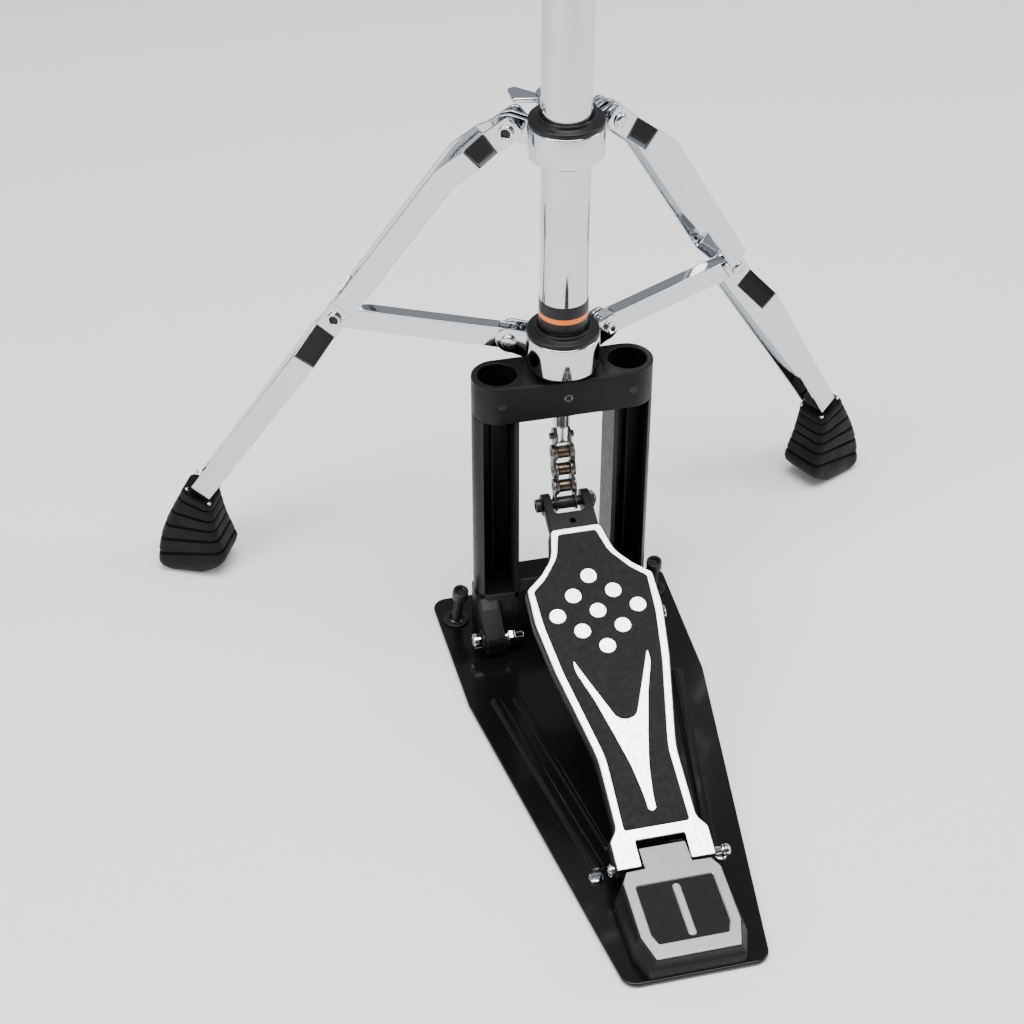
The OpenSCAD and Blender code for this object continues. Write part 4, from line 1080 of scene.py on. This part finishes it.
def make_leg_rivet(shells, shade_discs, name, outward):
    """The left leg has hollow tubular rivets, each with a dark disc of painted shade on the floor of its
    hollow, and the right leg has domed ones.
    """
    if name == "left":
        shells.append(placed(tube(4.5, 2.6, 0, 1.9, 0.7, 40), outward))
        # Painted shade: a dark disc on the floor of the hollow rivet, where its depth is shaded.
        shade_discs.append(placed(pin(2.7, 0, 0.5, 0.1, 32), outward))
    else:
        shells.append(placed(tube(4.6, 3.6, 0, 0.7, 0.25, 40), outward))
        shells.append(placed(dome(3.9, 0.1, 1.85), outward))


def lobe(side, hub, reach, base, lead=3):
    points = [(0, 0), (hub - 4, 0), (hub + 6, side * (reach - 5)), (hub + 5, side * reach),
              (lead, side * reach)]
    shape = slab(rounded(points, [0.5, 1.5, 2, 2.5, 3], 6), -1.6, 1.6, 1.0, steps=4)
    return placed(shape, at(base + 3, side * 4, 0))


def wing_screw(shank, shank_r, hub=9, reach=15):
    """Along +X from its tip at the origin."""
    profile = [(0, shank), (4.2, shank), (5, shank + 0.8), (5, shank + 2.5), (4.6, shank + hub - 1),
               (3.8, shank + hub - 0.2), (0, shank + hub)]
    shells = [placed(thread(shank_r, 0, shank + 0.2, 1.25, 0.5), Z_TO_X), placed(lathe(profile, 40), Z_TO_X)]
    return shells + [lobe(side, hub, reach, shank) for side in (-1, 1)]


def make_wing_bolts():
    to_y = turn(90, "Z")
    for name, place, sizes in (("collar", at(0, SLEEVE_R + 0.3, WING_Z) @ to_y, (24, 3, 12)),
                               ("clamp", at(26, -8, CLAMP_Z + 20) @ to_y, (30, 3.5)),
                               ("clutch", at(ROD_R + 0.3, 0, CLUTCH_Z + 51), (12, 2.95, 9, 12))):
        piece(name + "_wing_screw", all_placed(wing_screw(*sizes), place), "chrome", name + "_wing",
              [name + "_wing_bolt"])


# ---- legs ----


def run_point(start, slope, t, n):
    """A point t along a run that slopes down at slope degrees, n across the leg."""
    a = math.radians(slope)
    return Vector((start[0] + t * math.cos(a), n, start[1] - t * math.sin(a)))


def strap_path():
    """The middle line of a strap at +n, in the leg's own frame."""
    top_slope = math.degrees(math.atan2(TOP_PIVOT[1] - BEND[1], BEND[0] - TOP_PIVOT[0]))
    low_slope = math.degrees(math.atan2(BEND[1] - MID_PIVOT[1], MID_PIVOT[0] - BEND[0]))
    low_run = math.dist(BEND, MID_PIVOT)
    half = STRAP_T / 2
    top = [(-7.6, TOP_N), (-6.8, TOP_N), (-5.6, TOP_N), (-4, TOP_N)]
    path = [run_point(TOP_PIVOT, top_slope, t, n + half) for t, n in top]
    corners = [run_point(TOP_PIVOT, top_slope, -2, TOP_N + half),
               run_point(TOP_PIVOT, top_slope, 12, TOP_N + half),
               run_point(TOP_PIVOT, top_slope, 24, WIDE_N + half),
               run_point(BEND, low_slope, 0, WIDE_N + half),
               run_point(BEND, low_slope, low_run - 17, WIDE_N + half),
               run_point(BEND, low_slope, low_run - 10, MID_N + half),
               run_point(BEND, low_slope, low_run + 11, MID_N + half),
               run_point(BEND, low_slope, low_run + 29, SPREAD_N + half),
               run_point(BEND, low_slope, low_run + FOOT_RUN, FOOT_N + half)]
    return path + filleted(corners, [5, 5, 26, 2.2, 2.2, 4, 6], 7)


def make_straps():
    path = strap_path()
    back = strip_metal(path, STRAP_W, STRAP_T, 0.45, nose=6)
    front = placed(back, Matrix.Scale(-1, 4, (0, 1, 0)))
    for name, leg in LEG.items():
        for where, shape in (("front", front), ("rear", back)):
            piece(f"{name}_{where}_leg_strap", [placed(shape, leg)], "chrome", name + "_leg",
                  [f"{name}_{where}_strap"], sharp=60)


def make_mid_bolts():
    outer = MID_N + STRAP_T
    for name, leg in LEG.items():
        shells, shade_discs = [], []
        for side in (-1, 1):
            place = leg @ at(MID_PIVOT[0], side * outer, MID_PIVOT[1]) @ turn(-90 * side, "X")
            make_leg_rivet(shells, shade_discs, name, place)
            shells.append(placed(pin(3, -STRAP_T, 0.1, 0.1), place))
        piece(name + "_mid_rivets", shells, "chrome", name + "_leg", [name + "_mid_bolts"])
        # Painted shade: the dark discs in the hollow rivets of the left leg.
        if shade_discs:
            piece(name + "_mid_rivet_shade_discs", shade_discs, "black_oxide", name + "_leg")


def make_braces():
    length = MID_PIVOT[0] - BRACE_PIVOT[0]
    drop = math.degrees(math.atan2(BRACE_PIVOT[1] - MID_PIVOT[1], length))
    place = at(BRACE_PIVOT[0], 0, BRACE_PIVOT[1]) @ turn(drop, "Y")
    cheek = slab(stadium(length / 2, 6.8, length / 2, 0), -1.6, 0, 0.35,
                 holes=[circle(3.05, x, 0, 32) for x in (0, length)])
    web = slab(box_outline(length - 14, 7, 0.6, length / 2, 0), 5.2, 6.8, 0.3)
    for name, leg in LEG.items():
        shells = [placed(cheek, at(0, n0, 0) @ FACING_Y) for n0 in (2.6, -4.2)] + [web]
        piece(name + "_brace_channel", all_placed(shells, leg @ place), "chrome", name + "_brace",
              [name + "_brace"])


# Inner and outer end of each tier of a foot, as (distance out, height), and its width across the leg.
FOOT_IN = [(219, 17), (221, 26), (223.5, 33.5), (224.5, 40), (225.5, 47), (226.5, 54.5)]
FOOT_OUT = [(266, 8), (265, 20), (261.5, 32.5), (257, 43.5), (251.5, 54), (246, 64.5)]
FOOT_W = [32, 30.5, 29, 27.5, 26, 24.5]
SOLE = [((240, 1.1), (257, 0.5), 24), ((231, 3.6), (262, 1.6), 29), ((224, 8.5), (265, 4), 31.4),
        ((220.2, 12.8), (266, 6), 32)]
GROOVE_HALF, GROOVE_DEPTH = 0.13, 1.9


def between(values, u):
    """A value of a list, or a point of a list of points, at the fractional place u."""
    i = min(int(u), len(values) - 2)
    share = u - i
    a, b = values[i], values[i + 1]
    if isinstance(a, tuple):
        return tuple(p + (q - p) * share for p, q in zip(a, b))
    return a + (b - a) * share


def foot_ring(inner, outer, width, inset, radius=5.5):
    """A rounded outline that stands on the line between two (distance out, height) points."""
    run = (outer[0] - inner[0], outer[1] - inner[1])
    place = at((inner[0] + outer[0]) / 2, 0, (inner[1] + outer[1]) / 2) @ turn(
        -math.degrees(math.atan2(run[1], run[0])), "Y")
    outline = ccw(box_outline(math.hypot(*run), width, radius))
    return [place @ p for p in level(grown(outline, -inset), 0)]


def make_feet():
    rings = [foot_ring(inner, outer, width, 0) for inner, outer, width in SOLE]
    stations = [(0, 0), (0.28, 0)]
    for i in range(1, 5):
        middle = i - 0.5
        stations += [(middle - GROOVE_HALF, 0.2), (middle - GROOVE_HALF * 0.7, GROOVE_DEPTH),
                     (middle + GROOVE_HALF * 0.7, GROOVE_DEPTH), (middle + GROOVE_HALF, 0.2),
                     (middle + GROOVE_HALF + 0.1, 0)]
    stations += [(4.37, 0.2), (4.42, GROOVE_DEPTH), (4.58, GROOVE_DEPTH), (4.63, 0.2), (4.7, 0),
                 (4.95, 0), (5, 0.8)]
    for u, inset in stations:
        rings.append(foot_ring(between(FOOT_IN, u), between(FOOT_OUT, u), between(FOOT_W, u), inset))
    tip = at(233.4, 0, 64) @ turn(-33.57, "Y")
    plug = slab(box_outline(12, 15.6, 2), -4, 6.5, 1.2)
    studs = [placed(dome(1.3, 0, 0.9, 20), tip @ at(x, side * 9.4, -2.6))
             for side in (-1, 1) for x in (-8.4, 8.4)]
    for name, leg in LEG.items():
        shells = [loft(rings), placed(plug, tip)]
        piece(name + "_rubber_foot", all_placed(shells, leg), "rubber", name + "_leg",
              [name + "_foot"], sharp=50)
        piece(name + "_foot_studs", all_placed(studs, leg), "chrome", name + "_leg")


# ---- top half ----


def make_height_clamp():
    r, half, gap, far = 20, 8, 1.2, 32
    meet = math.degrees(math.asin(gap / TUBE_R))
    split = math.degrees(math.asin(gap / r))
    outline = arc(r, split, 360 - split, n=60) + arc(TUBE_R + 0.02, 360 - meet, meet, n=48)
    shells = [slab(outline, CLAMP_Z, CLAMP_Z + 40, 1.0)]
    for side in (-1, 1):
        ear = rounded([(far, 8), (far, 32), (17, 32), (17, 8)], [5, 5, 0.5, 0.5], 5)
        lug = slab(ear, 0, half - gap, 0.8, holes=[circle(3.55, 26, 20, 32)])
        y = half if side > 0 else -gap
        shells.append(placed(lug, at(0, y, CLAMP_Z) @ FACING_Y))
    piece("height_clamp_body", shells, "chrome", "stand", ["height_clamp"])
    top = CLAMP_Z + 40
    bush = [tube(15.4, HEIGHT_TUBE_R + 0.05, TUBE_TOP, top + 1, 0.2),
            tube(TUBE_INNER_R, HEIGHT_TUBE_R + 0.05, 572, TUBE_TOP, 0.2),
            tube(18.5, HEIGHT_TUBE_R + 0.05, top, top + 3, 0.9)]
    piece("clamp_nylon_bush", bush, "black_plastic", "stand", ["clamp_bush"])


def make_height_tube():
    pipe = tube(HEIGHT_TUBE_R, HEIGHT_TUBE_R - 1.5, 480, SEAT_Z, 0.4, 80)
    collar = tube(15, HEIGHT_TUBE_R - 0.05, SEAT_Z - 14, SEAT_Z, 0.8, 72)
    cap = tube(15, 7, SEAT_Z - 0.2, SEAT_Z + 3, 0.9, 72)
    lug = slab(box_outline(9, 12, 2, 0, 18.5), SEAT_Z - 12, SEAT_Z - 2, 0.8,
               holes=[circle(2.55, 0, TILT_SCREW_Y, 28)])
    piece("height_tube_pipe", [pipe, collar, cap, lug], "chrome", "height_tube", ["height_tube"])


def make_seat():
    base = SEAT_Z + 3.4
    cup = [tube(26, 6, base, base + 3, 1.2, 80), tube(11, 6, base + 2.5, base + 6, 0.8, 56),
           tube(8, 6, base + 5, base + 20, 0.7, 48)]
    rim = [tube(26, 23.6, base + 1.8, base + 4.2, 0.8, 80)]
    piece("cymbal_seat_cup", cup + rim, "black_plastic", "seat", ["seat_cup"])
    ring = tube(19, 8, base + 6, base + 15, 2.2, 80)
    pad = piece("cymbal_seat_felt", [ring], "felt", "seat", ["seat_felt"])
    knob = [lathe([(0, -7), (5, -7), (6, -6.2), (6, -0.8), (5, 0), (0, 0)], 48, ridges=24, depth=0.35)]
    shells = knob + [thread(2.5, -0.2, 24.9, 0.8, 0.3)]
    piece("tilt_thumb_screw", all_placed(shells, at(0, TILT_SCREW_Y, SEAT_Z - 22)), "chrome", "tilt_screw",
          ["tilt_screw"])


def bored_thread(r, bore, z0, z1, pitch, depth, n=40):
    """A threaded sleeve with a plain bore."""
    points, faces, flat = thread(r, z0, z1, pitch, depth, n)
    faces = [f for i, f in enumerate(faces) if i not in flat]
    count = len(points)
    points = points + [polar(bore, k / n, z) for z in (z0, z1) for k in range(n)]
    for k in range(n):
        j = (k + 1) % n
        faces.append((count + k, count + j, count + n + j, count + n + k))
        faces.append((k, j, count + j, count + k))
        faces.append((count - n + k, count - n + j, count + n + j, count + n + k))
    return points, faces, set()


def knurled_nut(r, bore, z0, z1, n=72):
    """A round nut with a coarse knurl."""
    wall = edge_profile(z0, z1, 0.7, 3)
    rings = []
    for k in range(n):
        cut = 0.45 if k % 3 == 0 else 0
        profile = [(r - d - cut, z) for d, z in wall] + [(bore + 0.3, z1), (bore + 0.3, z0)]
        rings.append([polar(q, k / n, z) for q, z in profile])
    rings.append(rings[0])
    return skin([rings])


def make_clutch():
    z = CLUTCH_Z
    body = [bored_thread(5.5, ROD_R + 0.05, z, z + 41, 1.4, 0.5),
            tube(11, ROD_R + 0.05, z + 40, z + 62, 1.4, 72),
            tube(11.0, 10, z + 43, z + 44, 0.3, 72)]
    piece("clutch_threaded_body", body, "chrome", "clutch", ["clutch_body"])
    felts = [tube(17, 5.4, z + 8, z + 16, 2.0, 72), tube(17, 5.4, z + 16.4, z + 24.4, 2.0, 72)]
    pads = piece("clutch_felt_pair", felts, "felt", "clutch", ["clutch_felts"])
    nuts = [knurled_nut(12, 5.2, z + 2, z + 8), knurled_nut(11, 5.2, z + 24.4, z + 29.4),
            knurled_nut(11, 5.2, z + 30, z + 35)]
    piece("clutch_knurled_nuts", nuts, "chrome", "clutch", ["clutch_nuts"])


for make_part in (make_base, make_spikes, make_heel, make_uprights, make_bridge, make_tube, make_pull_rod,
                  make_chain, make_footboard, make_lower_collar, make_upper_collar, make_wing_bolts,
                  make_straps, make_mid_bolts, make_braces, make_feet, make_height_clamp,
                  make_height_tube, make_seat, make_clutch):
    make_part()

# ---- studio, in metres ----

FLOOR_HALF = 6
CARD_Y = -1.7


def make_floor():
    mesh = bpy.data.meshes.new("studio_floor")
    size = FLOOR_HALF
    corners = [(-size, -size, 0), (size, -size, 0), (size, size, 0), (-size, size, 0)]
    mesh.from_pydata(corners, [], [(0, 1, 2, 3)])
    floor = bpy.data.objects.new("studio_floor", mesh)
    bpy.context.scene.collection.objects.link(floor)
    f = Finish("pale_floor", (0.87, 0.87, 0.87), 0.0, 0.75)
    f.rough(f.noise(3, 3), 0.7, 0.8)
    mesh.materials.append(f.mat)


def make_card(name, centre, width, height):
    """A dark card that only reflections see, as a photographer stands beside polished metal."""
    mesh = bpy.data.meshes.new(name)
    w, h = width / 2, height / 2
    mesh.from_pydata([(-w, 0, -h), (w, 0, -h), (w, 0, h), (-w, 0, h)], [], [(0, 1, 2, 3)])
    card = bpy.data.objects.new(name, mesh)
    card.location = centre
    card.visible_camera = False
    card.visible_shadow = False
    card.visible_diffuse = False
    bpy.context.scene.collection.objects.link(card)
    mesh.materials.append(Finish("dark_card", (0.014, 0.012, 0.009), 0.0, 0.9).mat)


def make_light(name, place, target, size, power):
    data = bpy.data.lights.new(name, "AREA")
    data.shape = "RECTANGLE"
    data.size, data.size_y = size
    data.energy = power
    lamp = bpy.data.objects.new(name, data)
    lamp.location = place
    lamp.rotation_euler = (Vector(target) - Vector(place)).to_track_quat("-Z", "Y").to_euler()
    bpy.context.scene.collection.objects.link(lamp)


def make_world():
    world = bpy.data.worlds.new("studio")
    bpy.context.scene.world = world
    world.use_nodes = True
    world.node_tree.nodes["Background"].inputs["Color"].default_value = (0.86, 0.92, 1.0, 1)
    world.node_tree.nodes["Background"].inputs["Strength"].default_value = 0.42


def make_camera():
    """The camera of the picture: where it stood, and how it was turned, in degrees."""
    yaw, pitch, roll = (math.radians(a) for a in (-13.895, 37.811, 0.313))
    back = Vector((math.sin(yaw) * math.cos(pitch), -math.cos(yaw) * math.cos(pitch), math.sin(pitch)))
    right = Vector((math.cos(yaw), math.sin(yaw), 0))
    up = back.cross(right)
    rolled_right = math.cos(roll) * right + math.sin(roll) * up
    rolled_up = back.cross(rolled_right)
    data = bpy.data.cameras.new("camera")
    data.sensor_width = 36
    data.lens = 76.877
    data.shift_x = -0.0162
    data.shift_y = -0.0034
    camera = bpy.data.objects.new("camera", data)
    turned = Matrix((rolled_right, rolled_up, back)).transposed().to_4x4()
    camera.matrix_world = Matrix.Translation((-0.2745, -1.0286, 0.9136)) @ turned
    data.clip_start, data.clip_end = 0.05, 50
    bpy.context.scene.collection.objects.link(camera)
    bpy.context.scene.camera = camera


make_floor()
make_card("low_card", (0.3, CARD_Y, 0.17), 3.6, 0.3)
make_card("high_card", (0.3, CARD_Y, 1.02), 3.6, 1.16)
make_light("overhead", (0.0, -0.35, 2.2), (0, 0, 0.1), (1.6, 1.2), 72)
make_light("left_window", (-1.9, -0.9, 1.5), (0, 0, 0.25), (1.0, 1.4), 40)
make_light("right_fill", (1.9, -0.3, 1.3), (0, 0, 0.25), (0.9, 1.3), 24)
make_world()
make_camera()
